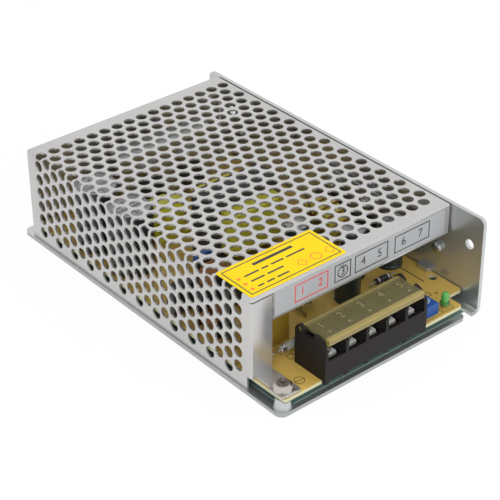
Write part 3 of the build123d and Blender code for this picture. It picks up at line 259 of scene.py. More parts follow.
class ShaderGraph(Graph):
    """A material under construction."""

    BEVEL_SAMPLES = 4

    def __init__(self, name: str) -> None:
        """Makes the material with its shader and output."""
        self.material = bpy.data.materials.new(name)
        self.material.use_nodes = True
        super().__init__(self.material.node_tree)
        self.shader = self.node("ShaderNodeBsdfPrincipled")
        surface = Signal(self, self.shader.outputs[0])
        self.output = self.node("ShaderNodeOutputMaterial", {}, {"Surface": surface})
        self.place = self.out("ShaderNodeTexCoord", {}, {}, "Object")
        self.x, self.y, self.z = self.split(self.place)

    def set(self, **values: Any) -> None:
        """Sets or links the shader's sockets, named with underscores for spaces."""
        for key, value in values.items():
            name = key.replace("_", " ").title().replace("Ior", "IOR")
            if isinstance(value, tuple):
                value = (*value, 1.0)
            self.feed(self.shader.inputs[name], value)

    def mix(self, factor: float | Signal, low: Triple | Signal, high: Triple | Signal) -> Signal:
        """Colour between two colours."""
        inputs = {0: factor}
        for key, colour in ((6, low), (7, high)):
            inputs[key] = colour if isinstance(colour, Signal) else (*colour, 1.0)
        return self.out("ShaderNodeMix", {"data_type": "RGBA"}, inputs, 2)

    def noise(self, scale: float, detail: float = 2.0, stretch: Triple = (1, 1, 1)) -> Signal:
        """Noise on object coordinates, from 0 to 1.

        Args:
            scale: features in a metre.
            detail: octaves.
            stretch: factors on the three axes; a small one draws the grain out along it.

        Returns:
            The noise value.
        """
        vector = self.combine("MULTIPLY", self.place, stretch)
        return self.out("ShaderNodeTexNoise", {}, {"Vector": vector, "Scale": scale, "Detail": detail})

    def bump(self, height: Signal, distance: float, edge: float = 0.15) -> None:
        """Gives the surface relief, over edges that are rounded in the shading.

        Args:
            height: relief from 0 to 1.
            distance: the relief's depth in millimetres.
            edge: radius of the rounded edges in millimetres.
        """
        soft = self.out("ShaderNodeBevel", {"samples": self.BEVEL_SAMPLES}, {"Radius": edge * MM})
        inputs = {"Strength": 1.0, "Distance": distance * MM, "Height": height, "Normal": soft}
        self.set(Normal=self.out("ShaderNodeBump", {}, inputs))


class GeometryGraph(Graph):
    """A geometry node tree under construction, with named inputs."""

    SOCKETS = {float: "NodeSocketFloat", int: "NodeSocketInt", tuple: "NodeSocketVector",
               bpy.types.Material: "NodeSocketMaterial"}

    def __init__(self, name: str, values: dict[str, Any]) -> None:
        """Makes the tree with a geometry input and one input for each named value."""
        super().__init__(bpy.data.node_groups.new(name, "GeometryNodeTree"))
        self.values = values
        face = self.tree.interface
        face.new_socket(name="Geometry", in_out="INPUT", socket_type="NodeSocketGeometry")
        self.sockets = {}
        for key, value in values.items():
            made = face.new_socket(name=key, in_out="INPUT", socket_type=self.SOCKETS[type(value)])
            self.sockets[key] = made.identifier
        face.new_socket(name="Geometry", in_out="OUTPUT", socket_type="NodeSocketGeometry")
        self.start = self.node("NodeGroupInput")

    def given(self, name: str) -> Signal:
        """One of the named inputs."""
        return Signal(self, self.start.outputs[name])

    def finish(self, geometry: Signal) -> None:
        """Ends the tree in realized geometry with its material."""
        real = self.out("GeometryNodeRealizeInstances", {}, {0: geometry})
        inputs = {"Geometry": real, "Material": self.given("Finish")}
        dressed = self.out("GeometryNodeSetMaterial", {}, inputs)
        self.node("NodeGroupOutput", {}, {0: dressed})

    def apply(self, target: bpy.types.Object) -> bpy.types.Object:
        """Runs the tree on an object and keeps the result as its plain mesh."""
        modifier = target.modifiers.new(self.tree.name, "NODES")
        modifier.node_group = self.tree
        for key, identifier in self.sockets.items():
            modifier[identifier] = self.values[key]
        return Bench.flatten(target)


# Mesh making


class Bench:
    """Makes plain mesh objects that sit at the origin."""

    WELD = 1e-7
    CAP_HEIGHT = 0.7

    @staticmethod
    def flatten(target: bpy.types.Object) -> bpy.types.Object:
        """Turns an object with modifiers into one plain mesh."""
        graph = bpy.context.evaluated_depsgraph_get()
        mesh = bpy.data.meshes.new_from_object(target.evaluated_get(graph))
        target.modifiers.clear()
        old = target.data
        target.data = mesh
        if old.users == 0:
            bpy.data.meshes.remove(old)
        return target

    @staticmethod
    def smooth(target: bpy.types.Object, angle: float = 32.0) -> bpy.types.Object:
        """Smooth shading that keeps edges sharper than an angle in degrees."""
        target.data.shade_smooth()
        target.data.set_sharp_from_angle(angle=math.radians(angle))
        return target

    @staticmethod
    def piece(name: str, shape: bmesh.types.BMesh,
              finish: bpy.types.Material | None = None) -> bpy.types.Object:
        """Makes an object from a shape and frees the shape."""
        bmesh.ops.recalc_face_normals(shape, faces=shape.faces)
        mesh = bpy.data.meshes.new(name)
        shape.to_mesh(mesh)
        shape.free()
        made = bpy.data.objects.new(name, mesh)
        bpy.context.scene.collection.objects.link(made)
        if finish:
            mesh.materials.append(finish)
        return Bench.smooth(made)

    @staticmethod
    def box(low: Vector, high: Vector, bend: float = 0.0, segments: int = 4,
            which: Callable[[bmesh.types.BMEdge], bool] | None = None) -> bmesh.types.BMesh:
        """Box between two corners with some of its edges rounded.

        Args:
            low: lowest corner in metres.
            high: highest corner in metres.
            bend: radius of the rounded edges in metres.
            segments: faces round each edge.
            which: function that picks the edges; all when left out.

        Returns:
            The shape.
        """
        shape = bmesh.new()
        size = high - low
        place = Matrix.Translation((low + high) / 2) @ Matrix.Diagonal((*size, 1.0))
        bmesh.ops.create_cube(shape, size=1.0, matrix=place)
        if bend:
            edges = [edge for edge in shape.edges if which is None or which(edge)]
            bmesh.ops.bevel(shape, geom=edges, offset=bend, segments=segments, profile=0.5,
                            affect="EDGES", clamp_overlap=True)
        return shape

    @staticmethod
    def rod(radius: float, start: Vector, end: Vector, sides: int = 24) -> bmesh.types.BMesh:
        """Cylinder between two points."""
        shape = bmesh.new()
        along = end - start
        turn = Vector((0, 0, 1)).rotation_difference(along).to_matrix().to_4x4()
        place = Matrix.Translation((start + end) / 2) @ turn
        bmesh.ops.create_cone(shape, cap_ends=True, segments=sides, radius1=radius, radius2=radius,
                              depth=along.length, matrix=place)
        return shape

    @staticmethod
    def merge(shapes: Iterable[bmesh.types.BMesh]) -> bmesh.types.BMesh:
        """Puts several shapes into one."""
        whole = bmesh.new()
        for shape in shapes:
            part = bpy.data.meshes.new("part")
            shape.to_mesh(part)
            shape.free()
            whole.from_mesh(part)
            bpy.data.meshes.remove(part)
        return whole

    @staticmethod
    def cut(target: bpy.types.Object, cutters: Iterable[bmesh.types.BMesh],
            operation: str = "DIFFERENCE") -> bpy.types.Object:
        """Cuts shapes from an object, or joins them to it, one after the other."""
        for shape in cutters:
            tool = Bench.piece("tool", shape)
            modifier = target.modifiers.new("cut", "BOOLEAN")
            modifier.operation = operation
            modifier.solver = "MANIFOLD"
            modifier.object = tool
            Bench.flatten(target)
            bpy.data.meshes.remove(tool.data)
        return target

    @staticmethod
    def outline(points: Sequence[tuple[float, float]], depth: float, turn: Matrix,
                holes: Sequence[Sequence[tuple[float, float]]] = ()) -> bmesh.types.BMesh:
        """Flat shape with holes, thickened and put in place.

        Args:
            points: outline in millimetres.
            depth: thickness in millimetres, along the shape's own +Z.
            turn: matrix from the flat shape to its place, in metres.
            holes: outlines cut from it.

        Returns:
            The shape.
        """
        curve = bpy.data.curves.new("outline", "CURVE")
        curve.dimensions = "2D"
        curve.fill_mode = "BOTH"
        curve.extrude = depth * MM / 2
        for ring in (points, *holes):
            spline = curve.splines.new("POLY")
            spline.points.add(len(ring) - 1)
            for point, (x, y) in zip(spline.points, ring):
                point.co = (x * MM, y * MM, 0, 1)
            spline.use_cyclic_u = True
        return Bench.from_curve(curve, turn, depth)

    @staticmethod
    def from_curve(curve: bpy.types.Curve, turn: Matrix, depth: float) -> bmesh.types.BMesh:
        """Mesh of a filled curve or text, raised so that its underside lies on the plane."""
        holder = bpy.data.objects.new("curve", curve)
        bpy.context.scene.collection.objects.link(holder)
        graph = bpy.context.evaluated_depsgraph_get()
        mesh = bpy.data.meshes.new_from_object(holder.evaluated_get(graph))
        mesh.transform(turn @ Matrix.Translation((0, 0, depth * MM / 2)))
        shape = bmesh.new()
        shape.from_mesh(mesh)
        bmesh.ops.remove_doubles(shape, verts=shape.verts, dist=Bench.WELD)
        bpy.data.objects.remove(holder)
        bpy.data.curves.remove(curve)
        bpy.data.meshes.remove(mesh)
        return shape

    @staticmethod
    def wire(points: Sequence[Vector], radius: float) -> bmesh.types.BMesh:
        """Round wire on a smooth line near some points."""
        curve = bpy.data.curves.new("wire", "CURVE")
        curve.dimensions = "3D"
        curve.bevel_depth = radius
        curve.bevel_resolution = 2
        curve.use_fill_caps = True
        spline = curve.splines.new("NURBS")
        spline.points.add(len(points) - 1)
        for point, place in zip(spline.points, points):
            point.co = (*place, 1)
        spline.order_u = 3
        spline.use_endpoint_u = True
        return Bench.from_curve(curve, Matrix.Identity(4), 0.0)

    @staticmethod
    def number(text: str, height: float, depth: float, turn: Matrix) -> bmesh.types.BMesh:
        """Raised numeral or sign, centred on its place, height and depth in millimetres."""
        curve = bpy.data.curves.new("number", "FONT")
        curve.body = text
        curve.size = height * MM / Bench.CAP_HEIGHT
        curve.extrude = depth * MM / 2
        curve.align_x = "CENTER"
        curve.align_y = "CENTER"
        return Bench.from_curve(curve, turn, depth)


def upright(edge: bmesh.types.BMEdge) -> bool:
    """Whether an edge of a box stands on end."""
    return abs(edge.verts[0].co.z - edge.verts[1].co.z) > EDGE_EASE


def ring_points(radius: float, count: int = 40) -> list[tuple[float, float]]:
    """Points of a circle about the origin."""
    return [(radius * math.cos(2 * math.pi * k / count), radius * math.sin(2 * math.pi * k / count))
            for k in range(count)]


def frame_points(width: float, height: float) -> list[tuple[float, float]]:
    """Corners of a rectangle about the origin."""
    x, y = width / 2, height / 2
    return [(-x, -y), (x, -y), (x, y), (-x, y)]


def srgb(red: int, green: int, blue: int) -> Triple:
    """Colour as it shows on a screen, from 0 to 255, made linear."""
    return tuple(((value / 255 + 0.055) / 1.055) ** 2.4 if value > 10 else value / 3294.6
                 for value in (red, green, blue))


# Sizes that the scene shares with the part, in millimetres


@dataclass(frozen=True)
class Case:
    """Places on the case that several pieces share, in millimetres."""

    cover_front: float = -61.65
    cover_left: float = -48.2
    cover_right: float = 47.3
    cover_back: float = 73.45
    cover_bottom: float = 1.6
    cover_top: float = 40.5
    sheet: float = 0.8
    bend: float = 1.0
    fascia_bottom: float = 28.2
    flange_bottom: float = 30.5
    board_top: float = 7.1
    wall_out: float = 49.0
    fold: float = 3.0


CASE = Case()


# Finishes


class Grain(Enum):
    """Direction of a sheet's rolling marks, as a stretch of the noise on the three axes."""

    ALONG_X = (0.03, 1.0, 1.0)
    ALONG_Y = (1.0, 0.03, 1.0)
    EVEN = (1.0, 1.0, 1.0)


@dataclass(frozen=True)
class Finish:
    """A surface with its colour and gloss."""

    name: str
    colour: Triple
    roughness: float = 0.5

    made: ClassVar[dict[str, bpy.types.Material]] = {}

    def material(self) -> bpy.types.Material:
        """The material, made once for each name."""
        if self.name not in Finish.made:
            graph = ShaderGraph(self.name)
            self.paint(graph)
            Finish.made[self.name] = graph.material
        return Finish.made[self.name]

    def paint(self, graph: ShaderGraph) -> None:
        """Builds the shader of this finish."""
        raise NotImplementedError

    def shade(self, factor: float) -> Triple:
        """The finish's colour, darker or lighter."""
        return tuple(min(value * factor, 1.0) for value in self.colour)

    def tones(self, graph: ShaderGraph, factor: Signal, low: float, high: float) -> Signal:
        """The finish's colour between two of its shades."""
        return graph.mix(factor, self.shade(low), self.shade(high))

    def uneven(self, marks: Signal, spread: float) -> Signal:
        """The finish's roughness, spread about its value by a noise."""
        return self.roughness + (marks - 0.5) * spread


@dataclass(frozen=True)
class SheetMetal(Finish):
    """Rolled sheet with cloudy tone, fine rolling marks and soft edges."""

    grain: Grain = Grain.EVEN
    metallic: float = 0.9
    relief: float = 0.012
    cut_edge_top: float = 0.0
    cut_edge_shade: float = 0.72

    def paint(self, graph: ShaderGraph) -> None:
        """Cloudy base, drawn grain in the roughness and the relief, dull cut edges below a height."""
        cloud = graph.noise(28.0, 3.0)
        marks = graph.noise(2400.0, 2.0, self.grain.value)
        tone = self.tones(graph, (cloud * 0.6 + marks * 0.4).step(0.35, 0.65), 0.94, 1.05)
        if self.cut_edge_top:
            normal = graph.out("ShaderNodeNewGeometry", {}, {}, "Normal")
            cut = (abs(graph.split(normal)[2]) < 0.5) * (graph.z < self.cut_edge_top * MM)
            tone = graph.mix(cut, tone, self.shade(self.cut_edge_shade))
        graph.set(base_color=tone, metallic=self.metallic,
                  roughness=self.uneven(marks, 0.12) + (cloud - 0.5) * 0.06)
        graph.bump(marks, self.relief, edge=0.2)


@dataclass(frozen=True)
class Plated(Finish):
    """Bright plated metal with faint handling marks."""

    metallic: float = 1.0

    def paint(self, graph: ShaderGraph) -> None:
        """Fine scratches in colour and roughness."""
        marks = graph.noise(900.0, 4.0)
        graph.set(base_color=self.tones(graph, marks, 0.86, 1.08), metallic=self.metallic,
                  roughness=self.uneven(marks, 0.2))
        graph.bump(graph.noise(3000.0), 0.01)


@dataclass(frozen=True)
class Moulded(Finish):
    """Moulded plastic with a fine spark-eroded texture."""

    coat: float = 0.0
    shine: float = 0.5

    def paint(self, graph: ShaderGraph) -> None:
        """Slight tone changes and a fine even relief."""
        cloud = graph.noise(180.0, 3.0)
        grain = graph.noise(4200.0, 2.0)
        graph.set(base_color=self.tones(graph, cloud, 0.9, 1.12), roughness=self.uneven(grain, 0.12),
                  coat_weight=self.coat, coat_roughness=0.15, specular_ior_level=self.shine)
        graph.bump(grain, 0.015, edge=0.12)


@dataclass(frozen=True)
class Laminate(Finish):
    """Paper laminate board: fibrous face, pale cut edges, and dark green below a height, in millimetres."""

    edge: Triple = (0.8, 0.72, 0.5)
    low_tone: Triple = (0.02, 0.08, 0.05)
    low_tone_top: float = 5.85
    track_scale: float = 110.0

    def paint(self, graph: ShaderGraph) -> None:
        """Face and edge told apart by the surface's own direction."""
        fibre = graph.noise(700.0, 4.0, (1.0, 0.35, 1.0))
        settings = {"distance": "MANHATTAN", "feature": "F1"}
        inputs = {"Vector": graph.place, "Scale": self.track_scale}
        cells = graph.out("ShaderNodeTexVoronoi", settings, inputs, "Distance")
        tracks = cells.step(0.36, 0.4)
        face = self.tones(graph, fibre, 0.86, 1.1)
        face = graph.mix(tracks * 0.35, face, self.shade(0.62))
        normal = graph.out("ShaderNodeNewGeometry", {}, {}, "Normal")
        # Dark green below a height: the underside and a strip low on the cut edges.
        edge = graph.mix((graph.z < self.low_tone_top * MM) * 1.0, self.edge, self.low_tone)
        graph.set(base_color=graph.mix(graph.split(normal)[2].step(0.3, 0.7), edge, face),
                  roughness=self.uneven(fibre, 0.15), coat_weight=0.25, coat_roughness=0.3)
        graph.bump(fibre * 0.5 + tracks * 0.5, 0.02, edge=0.1)


@dataclass(frozen=True)
class ClearPlastic(Finish):
    """Tinted clear plastic with a painted highlight on its thick rims, sizes in millimetres."""

    rim_highlight: Triple = (0.6, 0.45, 0.1)
    plate_cover: float = 0.6
    rim_cover: float = 0.9
    lip_back: float = -77.2
    barrel_front: float = -66.7
    lip_highlight_gap: tuple[float, float] = (21.9, 23.3)

    def paint(self, graph: ShaderGraph) -> None:
        """Plate, lip and barrel told apart along Y; lip and barrel get a painted highlight, and a band of the
        lip, found by height, gets painted shade between two highlight lines.
        """
        lip = (graph.y < self.lip_back * MM) * 1.0
        barrel = graph.y > self.barrel_front * MM
        highlight_gap = lip * graph.z.within(*(level * MM for level in self.lip_highlight_gap))
        cloud = graph.noise(350.0, 3.0)
        streak = graph.noise(500.0, 3.0, (0.15, 1.0, 1.0))
        # Painted highlight: the lip, and the hinge barrel at under half strength, turn to the lighter rim
        # colour.
        tone = graph.mix(lip.most(barrel * 0.45), self.colour, self.rim_highlight)
        # Painted shade: the lip's middle band is darkened between its two highlight lines.
        tone = graph.mix(highlight_gap * 0.6, tone, self.shade(0.9))
        graph.set(base_color=graph.mix(streak * 0.3, tone, self.shade(0.55)),
                  roughness=self.uneven(cloud, 0.1), coat_weight=0.6, coat_roughness=0.1,
                  alpha=self.plate_cover + (self.rim_cover - self.plate_cover) * lip.most(barrel))
        graph.bump(cloud * 0.5 + streak * 0.5, 0.03, edge=0.2)


@dataclass(frozen=True)
class Lens(Finish):
    """Tinted lamp body with painted light by height, darker at its foot and lighter towards its crown, with
    its flange and legs below.
    """

    crown: float = 12.0
    foot: float = 8.6
    leg_tone: Triple = srgb(190, 190, 186)
    clearness: float = 0.15

    def paint(self, graph: ShaderGraph) -> None:
        """Colour by height as painted light, with small bubbles."""
        rise = graph.z.step(self.foot * MM, self.crown * MM)
        bubble = graph.noise(1400.0, 3.0)
        leg = graph.z < self.foot * MM
        # Painted light: the lens gets darker towards its foot and lighter towards its top.
        tone = self.tones(graph, rise, 0.6, 1.25)
        tone = graph.mix(bubble.step(0.55, 0.75) * 0.5, tone, self.shade(1.8))
        graph.set(base_color=graph.mix(leg, tone, self.leg_tone), metallic=leg, roughness=self.roughness,
                  coat_weight=0.7, coat_roughness=0.08, alpha=1.0 - self.clearness * (1.0 - leg))
        graph.bump(bubble, 0.02)


@dataclass(frozen=True)
class GlassTube(Finish):
    """Glass between two plated caps, told apart by the distance from the middle."""

    middle: float = 0.0
    half_glass: float = 2.6
    cap_dark: Triple = srgb(150, 150, 146)
    cap_bright: Triple = srgb(214, 214, 210)
    glass_cover: float = 0.35
    fade: float = 0.1

    def paint(self, graph: ShaderGraph) -> None:
        """Caps in metal, the rest clear."""
        cap = abs(graph.x - self.middle * MM).step((self.half_glass - self.fade) * MM, self.half_glass * MM)
        marks = graph.noise(900.0)
        metal = graph.mix(marks, self.cap_dark, self.cap_bright)
        cover = self.glass_cover + (1.0 - self.glass_cover) * cap
        graph.set(base_color=graph.mix(cap, self.colour, metal), metallic=cap,
                  roughness=self.roughness + cap * 0.2, alpha=cover)
        graph.bump(marks, 0.01)


@dataclass(frozen=True)
class Sleeve(Finish):
    """Shrink sleeve of a can, with a pale stripe and the bare scored lid."""

    middle: tuple[float, float] = (0.0, 0.0)
    radius: float = 5.0
    top: float = 27.6
    stripe_turn: float = 2.4
    stripe_spread: float = 0.3
    lid_share: float = 0.87
    lid_drop: float = 0.2
    score_share: float = 0.6
    score_half: float = 0.25
    lid_dark: Triple = srgb(176, 178, 180)
    lid_bright: Triple = srgb(222, 224, 226)
    stripe_tone: Triple = srgb(150, 152, 150)
    score_tone: Triple = srgb(96, 98, 100)

    def paint(self, graph: ShaderGraph) -> None:
        """Lid by height and radius, stripe by the angle round the can."""
        east = graph.x - self.middle[0] * MM
        north = graph.y - self.middle[1] * MM
        spread = (east * east + north * north).math("SQRT")
        inner = spread < self.radius * self.lid_share * MM
        lid = (graph.z > (self.top - self.radius * self.lid_drop) * MM) * inner
        line = self.score_half * MM
        score = (abs(east) < line).most(abs(north) < line) * (spread < self.radius * self.score_share * MM)
        turn = north.math("ARCTAN2", east)
        stripe = (abs(turn - self.stripe_turn) < self.stripe_spread) * (1.0 - lid)
        marks = graph.noise(600.0, 3.0)
        metal = graph.mix(marks, self.lid_dark, self.lid_bright)
        sleeve = graph.mix(stripe, self.tones(graph, marks, 0.85, 1.15), self.stripe_tone)
        graph.set(base_color=graph.mix(lid, sleeve, graph.mix(score, metal, self.score_tone)),
                  metallic=lid * 0.9, roughness=self.roughness + lid * 0.1, coat_weight=0.2)
        graph.bump(marks * 0.4 - score, 0.06)


@dataclass(frozen=True)
class Fired(Finish):
    """Fired or pressed powder: ferrite, painted iron."""

    speck: float = 0.25

    def paint(self, graph: ShaderGraph) -> None:
        """Dark and light specks with a rough surface."""
        speck = graph.noise(2600.0, 3.0)
        graph.set(base_color=self.tones(graph, speck.step(0.3, 0.7), 1 - self.speck, 1 + self.speck),
                  roughness=self.uneven(speck, 0.2))
        graph.bump(speck, 0.03, edge=0.25)


@dataclass(frozen=True)
class Tape(Finish):
    """Layers of tape round a coil: fine edges of the turns and a glossy face."""

    pitch: float = 2.2
    edge_share: float = 0.04

    def paint(self, graph: ShaderGraph) -> None:
        """Lines where one turn ends on the next."""
        place = (graph.z / (self.pitch * MM)) % 1.0
        edge = (abs(place - 0.5) < self.edge_share) * 1.0
        cloud = graph.noise(160.0, 3.0)
        tone = self.tones(graph, cloud, 0.82, 1.12)
        graph.set(base_color=graph.mix(edge * 0.5, tone, self.shade(0.45)), roughness=self.roughness,
                  coat_weight=0.5, coat_roughness=0.1)
        graph.bump(cloud * 0.6 + place * 0.4, 0.05, edge=0.2)


@dataclass(frozen=True)
class Banded(Finish):
    """Dipped resistor bodies with coloured bands, on tinned leads."""

    middles: tuple[float, ...] = (0.0,)
    half: float = 3.2
    bands: tuple[tuple[float, Triple], ...] = ()
    band_half: float = 0.28
    lead_dark: Triple = srgb(168, 168, 164)
    lead_bright: Triple = srgb(214, 214, 208)
    lead_ease: float = 0.02

    def paint(self, graph: ShaderGraph) -> None:
        """Bands by the distance from the nearest body's middle."""
        offset = None
        for middle in self.middles:
            away = graph.x - middle * MM
            near = abs(away)
            offset = near if offset is None else offset.least(near)
        cloud = graph.noise(500.0, 3.0)
        tone = self.tones(graph, cloud, 0.88, 1.1)
        for place, colour in self.bands:
            tone = graph.mix((abs(offset - place * MM) < self.band_half * MM) * 1.0, tone, colour)
        lead = offset > (self.half + self.lead_ease) * MM
        tin = graph.mix(cloud, self.lead_dark, self.lead_bright)
        graph.set(base_color=graph.mix(lead, tone, tin), metallic=lead,
                  roughness=self.roughness - 0.15 * lead)
        graph.bump(cloud, 0.03)


@dataclass(frozen=True)
class Legged(Finish):
    """Dark package or dipped disc on tinned legs, told apart by the height above the board."""

    leg_top: float = 8.6
    coat: float = 0.0
    tab: float = 99.0
    leg_dark: Triple = srgb(160, 160, 156)
    leg_bright: Triple = srgb(210, 210, 206)

    def paint(self, graph: ShaderGraph) -> None:
        """Legs below one height and a plated tab above another."""
        leg = (graph.z < self.leg_top * MM).most(graph.z > self.tab * MM)
        grain = graph.noise(1500.0, 3.0)
        body = self.tones(graph, grain, 0.8, 1.2)
        tin = graph.mix(grain, self.leg_dark, self.leg_bright)
        graph.set(base_color=graph.mix(leg, body, tin), metallic=leg, roughness=self.roughness - 0.1 * leg,
                  coat_weight=self.coat, coat_roughness=0.12)
        graph.bump(grain, 0.02, edge=0.2)


@dataclass(frozen=True)
class Enamel(Finish):
    """Enamelled copper wire."""

    metallic: float = 0.75

    def paint(self, graph: ShaderGraph) -> None:
        """Warm metal that darkens in places."""
        cloud = graph.noise(300.0, 3.0)
        graph.set(base_color=self.tones(graph, cloud, 0.7, 1.15), metallic=self.metallic,
                  roughness=self.uneven(cloud, 0.15), coat_weight=0.6, coat_roughness=0.15)
        graph.bump(graph.noise(2500.0), 0.01)


@dataclass(frozen=True)
class Printed(Finish):
    """Screen printing ink with slightly uneven cover."""

    def paint(self, graph: ShaderGraph) -> None:
        """Ink thins in fine specks."""
        speck = graph.noise(3000.0, 3.0)
        graph.set(base_color=graph.mix(speck.step(0.35, 0.75), self.colour, self.shade(1.35)),
                  roughness=self.uneven(speck, 0.2))
        graph.bump(speck, 0.01)


@dataclass(frozen=True)
class Film(Finish):
    """Printed sticker film, slightly glossy, with faint ripples."""

    def paint(self, graph: ShaderGraph) -> None:
        """Even colour with faint clouds."""
        cloud = graph.noise(120.0, 3.0)
        fine = graph.noise(2200.0, 2.0)
        graph.set(base_color=self.tones(graph, (cloud * 0.6 + fine * 0.4).step(0.3, 0.7), 0.93, 1.04),
                  roughness=self.uneven(fine, 0.1), specular_ior_level=0.2)
        graph.bump(cloud, 0.02)


CHASSIS_METAL = SheetMetal("chassis_metal", srgb(196, 199, 198), 0.3, Grain.ALONG_Y, 0.84, 0.02, 1.45)
COVER_METAL = SheetMetal("cover_metal", srgb(191, 190, 189), 0.22, Grain.ALONG_Y, 0.74)
FASCIA_FILM = Film("fascia_film", srgb(156, 158, 160), 0.55)
INSERT_METAL = Plated("insert_metal", srgb(186, 188, 186), 0.35)
SINK_METAL = SheetMetal("sink_metal", srgb(190, 192, 194), 0.42, Grain.ALONG_X, 0.9)
SCREW_METAL = Plated("screw_metal", srgb(212, 212, 206), 0.26, 0.9)
EARTH_METAL = Plated("earth_metal", srgb(196, 190, 184), 0.26)
CONTACT_METAL = Plated("contact_metal", srgb(255, 253, 246), 0.4, 0.1)
TINNED_WIRE = Plated("wire_tin", srgb(150, 134, 92), 0.45)
BLOCK_PLASTIC = Moulded("block_plastic", srgb(25, 22, 21), 0.5, 0.0, 0.2)
# The flap's second, lighter colour is its painted highlight on the lip and the hinge barrel.
FLAP_PLASTIC = ClearPlastic("flap_plastic", srgb(120, 113, 66), 0.26, srgb(164, 144, 72), 0.46, 0.8)
FLAP_MARK = Moulded("flap_mark", srgb(126, 120, 82), 0.35, 0.4)
TRIMMER_PLASTIC = Moulded("trimmer_plastic", srgb(16, 70, 136), 0.4, 0.1, 0.35)
ROTOR_PLASTIC = Moulded("rotor_plastic", srgb(140, 160, 186), 0.45)
LAMP_PLASTIC = Lens("lamp_plastic", srgb(64, 142, 60), 0.2)
BOARD_LAMINATE = Laminate("board_laminate", srgb(208, 174, 86), 0.5, srgb(186, 182, 146), srgb(52, 84, 76))
# The insulating sheet's grey-green is a painted reflection of the board in the plate, seen in the gap between
# them, lightened against the shade under the board.
SHEET_FILM_PAINTED_REFLECTION = Moulded("sheet_film", srgb(104, 126, 120), 0.4, 0.3)
LABEL_FILM = Film("label_film", srgb(240, 206, 10), 0.5)
BLACK_INK = Printed("black_ink", srgb(38, 38, 44), 0.5)
RED_INK = Printed("red_ink", srgb(196, 52, 46), 0.5)
ORANGE_INK = Printed("orange_ink", srgb(226, 122, 38), 0.5)
BOARD_INK = Printed("board_ink", srgb(64, 50, 40), 0.6)
FUSE_GLASS = GlassTube("fuse_glass", srgb(214, 226, 220), 0.1, -26.5, 2.6)
FILM_PLASTIC = Moulded("film_plastic", srgb(146, 118, 38), 0.35, 0.2)
FERRITE = Fired("ferrite", srgb(62, 62, 64), 0.6)
RING_IRON = Fired("ring_iron", srgb(196, 186, 62), 0.5, 0.1)
COIL_COPPER = Enamel("coil_copper", srgb(150, 98, 48), 0.3)
BOBBIN = Moulded("bobbin_plastic", srgb(40, 40, 42), 0.5)
TAPE_YELLOW = Tape("tape_yellow", srgb(216, 210, 62), 0.35)
DISC_GREEN = Legged("disc_green", srgb(58, 104, 70), 0.35, coat=0.4)
DISC_BLUE = Legged("disc_blue", srgb(52, 92, 164), 0.35, coat=0.4)
PACKAGE = Legged("package_plastic", srgb(48, 48, 50), 0.5, 8.0)
DEVICE = Legged("device_plastic", srgb(48, 48, 50), 0.5, 10.1, tab=19.4)
RESISTOR = Banded("resistor_coat", srgb(196, 170, 124), 0.5, (-17.0, 0.5, -21.0), 3.2,
                  ((0.0, srgb(110, 60, 34)), (1.1, srgb(44, 44, 44)), (2.3, srgb(190, 60, 40))))
DIODE = Banded("diode_coat", srgb(44, 44, 46), 0.45, (28.0, 1.5, -21.0), 3.2, ((2.4, srgb(200, 200, 196)),))


# Camera and studio


@dataclass
class Viewpoint:
    """The photograph's camera."""

    place: Triple = (-0.340747, -0.411264, 0.356810)
    azimuth: float = -39.88046
    elevation: float = 33.00773
    roll: float = -0.40731
    lens: float = 119.638
    sensor: float = 36.0
    near: float = 0.01

    def build(self) -> bpy.types.Object:
        """Makes the scene's camera."""
        turn, rise, roll = (math.radians(angle) for angle in (self.azimuth, self.elevation, self.roll))
        back = Vector((math.sin(turn) * math.cos(rise), -math.cos(turn) * math.cos(rise), math.sin(rise)))
        level_right = Vector((math.cos(turn), math.sin(turn), 0.0))
        level_up = back.cross(level_right)
        right = level_right * math.cos(roll) + level_up * math.sin(roll)
        up = back.cross(right)
        data = bpy.data.cameras.new("camera")
        data.lens = self.lens
        data.sensor_width = self.sensor
        data.clip_start = self.near
        camera = bpy.data.objects.new("camera", data)
        bpy.context.scene.collection.objects.link(camera)
        camera.matrix_world = Matrix.Translation(self.place) @ Matrix((right, up, back)).transposed().to_4x4()
        bpy.context.scene.camera = camera
        return camera


@dataclass(frozen=True)
class Lamp:
    """A soft square lamp that looks at the object."""

    name: str
    place: Triple
    size: float
    power: float

    def build(self, aim: Vector) -> bpy.types.Object:
        """Hangs the lamp and turns it to a point; metal mirrors the white surroundings in its place."""
        data = bpy.data.lights.new(self.name, "AREA")
        data.size = self.size
        data.energy = self.power
        lamp = bpy.data.objects.new(self.name, data)
        bpy.context.scene.collection.objects.link(lamp)
        lamp.location = self.place
        lamp.visible_glossy = False
        lamp.rotation_euler = (aim - Vector(self.place)).to_track_quat("-Z", "Y").to_euler()
        return lamp


